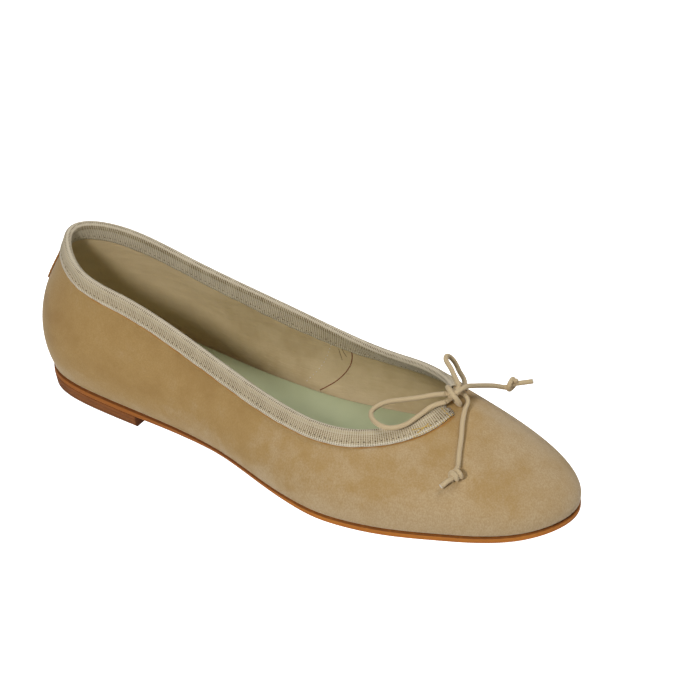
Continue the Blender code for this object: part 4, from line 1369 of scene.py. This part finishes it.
END_KNOTS = (
    EndKnot(
        "outer", (14.6, -23.8, -18.2), (-3.8, -4.4, -3.9), TAIL_OUTER[-1], 7.2,
        (-0.48, -0.92, -0.14), 1.55, 2.2, 4.2,
    ),
    EndKnot(
        "inner", (8.9, 30.2, -9.7), (0.75, 0.62, 0.05), TAIL_INNER[-1], 8.7,
        (1.0, 0.0, -0.27), 2.2, 1.7, 2.4,
    ),
)  # fmt: skip
CORD_STEP, STRAND_STEP, CUT_STEP = 0.0007, 0.0005, 0.0002


def route(points, step=CORD_STEP, middle=KNOT_MIDDLE):
    """Points a step apart on the smooth curve through a route."""
    places = np.array(points) * MM
    places = np.concatenate([[places[0] * 2 - places[1]], places, [places[-1] * 2 - places[-2]]])
    found = [places[1]]
    for a, b, c, d in zip(places, places[1:], places[2:], places[3:]):
        steps = max(1, round(float(np.linalg.norm(c - b)) / step))
        for i in range(1, steps + 1):
            t = i / steps
            squared = (2 * a - 5 * b + 4 * c - d) * t**2
            found.append((2 * b + (c - a) * t + squared + (3 * b - a - 3 * c + d) * t**3) * 0.5)
    return np.array(found) + middle


def ring_points(axis, radius, turns, pitch, start=0.0):
    """A coil of cord round an axis, in millimetres."""
    along = np.array(axis) / np.linalg.norm(axis)
    side = np.cross(along, (0.0, 0.0, 1.0))
    side = side / np.linalg.norm(side)
    over = np.cross(along, side)
    angle = np.linspace(0.0, 2 * math.pi * turns, max(8, round(28 * turns))) + start
    share = np.linspace(-0.5, 0.5, len(angle))
    round_it = side * np.cos(angle)[:, None] * radius + over * np.sin(angle)[:, None] * radius
    return round_it + along * (share * pitch)[:, None]


def strands_of(routes):
    """Tubes of cord along routes near the knots."""
    return [tube("strand", route(points, STRAND_STEP), CORD / 2, CORD_CLOTH, 14) for points in routes]


def make_knot():
    """The wraps of the bow's knot and the strands that run through them."""
    slip = np.linspace(-0.4, 1.2, len(WRAP))[:, None] * WRAP_SLIP
    wrap = np.array(WRAP)[:, :1] * WRAP_ALONG + np.array(WRAP)[:, 1:] * WRAP_OUT + slip
    strands = [
        wrap,
        np.array([LOOP_OUTER[0], (-1.0, -1.6, 1.5), (0.3, 0.6, 1.8), LOOP_INNER[0]]),
        np.array([LOOP_OUTER[-1], (-0.2, -1.8, -0.4), (0.6, 1.6, 0.0), LOOP_INNER[-1]]),
        np.array([TAIL_OUTER[0], (2.0, 2.4, 0.4), (0.4, 1.2, 0.6), (-1.2, -0.6, -0.8)]),
        np.array([TAIL_INNER[0], (1.0, -3.0, 1.9), (-0.8, -1.8, 0.4), (-1.4, 0.4, -1.0)]),
    ]
    return finish_piece(join("bow_wraps", strands_of(strands), CORD_CLOTH), "cord", "bow_knot")


def make_end_knot(row):
    """An overhand knot with a short end beyond it, whose cut face is white."""
    along = np.array(row.axis) / np.linalg.norm(row.axis)
    place, tail_end = np.array(row.place), np.array(row.tail_end)
    wraps = ring_points(row.wrap_axis, row.radius, row.turns, row.pitch, 0.4) + place
    bulge = np.cross(along, (0.6, 0.2, 0.9)) * 0.8
    cross = np.array([tail_end, tail_end * 0.5 + place * 0.5 + bulge, place + along * 1.2])
    stub = np.array([place + along * reach for reach in (-0.6, 2.4, 4.6, row.reach)])
    joined = join(f"end_knot_{row.side}", strands_of((wraps, cross, stub)), CORD_CLOTH)
    knot = finish_piece(joined, "cord", f"tail_knot_{row.side}")
    face = [place + along * (row.reach - 0.2), place + along * (row.reach + 0.35)]
    cut = tube(f"cut_end_{row.side}", route(face, CUT_STEP), CORD / 2 * 0.94, WHITE_THREAD, 14)
    return [knot, finish_piece(cut, "cord")]


def make_bow():
    knot = make_knot()
    ends = [make_end_knot(row) for row in END_KNOTS]
    for name, node, points, pieces in (
        ("bow_loop_outer", "loop_outer", LOOP_OUTER, [knot]),
        ("bow_loop_inner", "loop_inner", LOOP_INNER, []),
        ("bow_tail_outer", "tail_outer", TAIL_OUTER, ends[0]),
        ("bow_tail_inner", "tail_inner", TAIL_INNER, ends[1]),
    ):
        path = route(points)
        cord = finish_piece(tube(name, path, CORD / 2, CORD_CLOTH, 16), "cord", node)
        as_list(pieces)  # fmt: skip


make_bow()
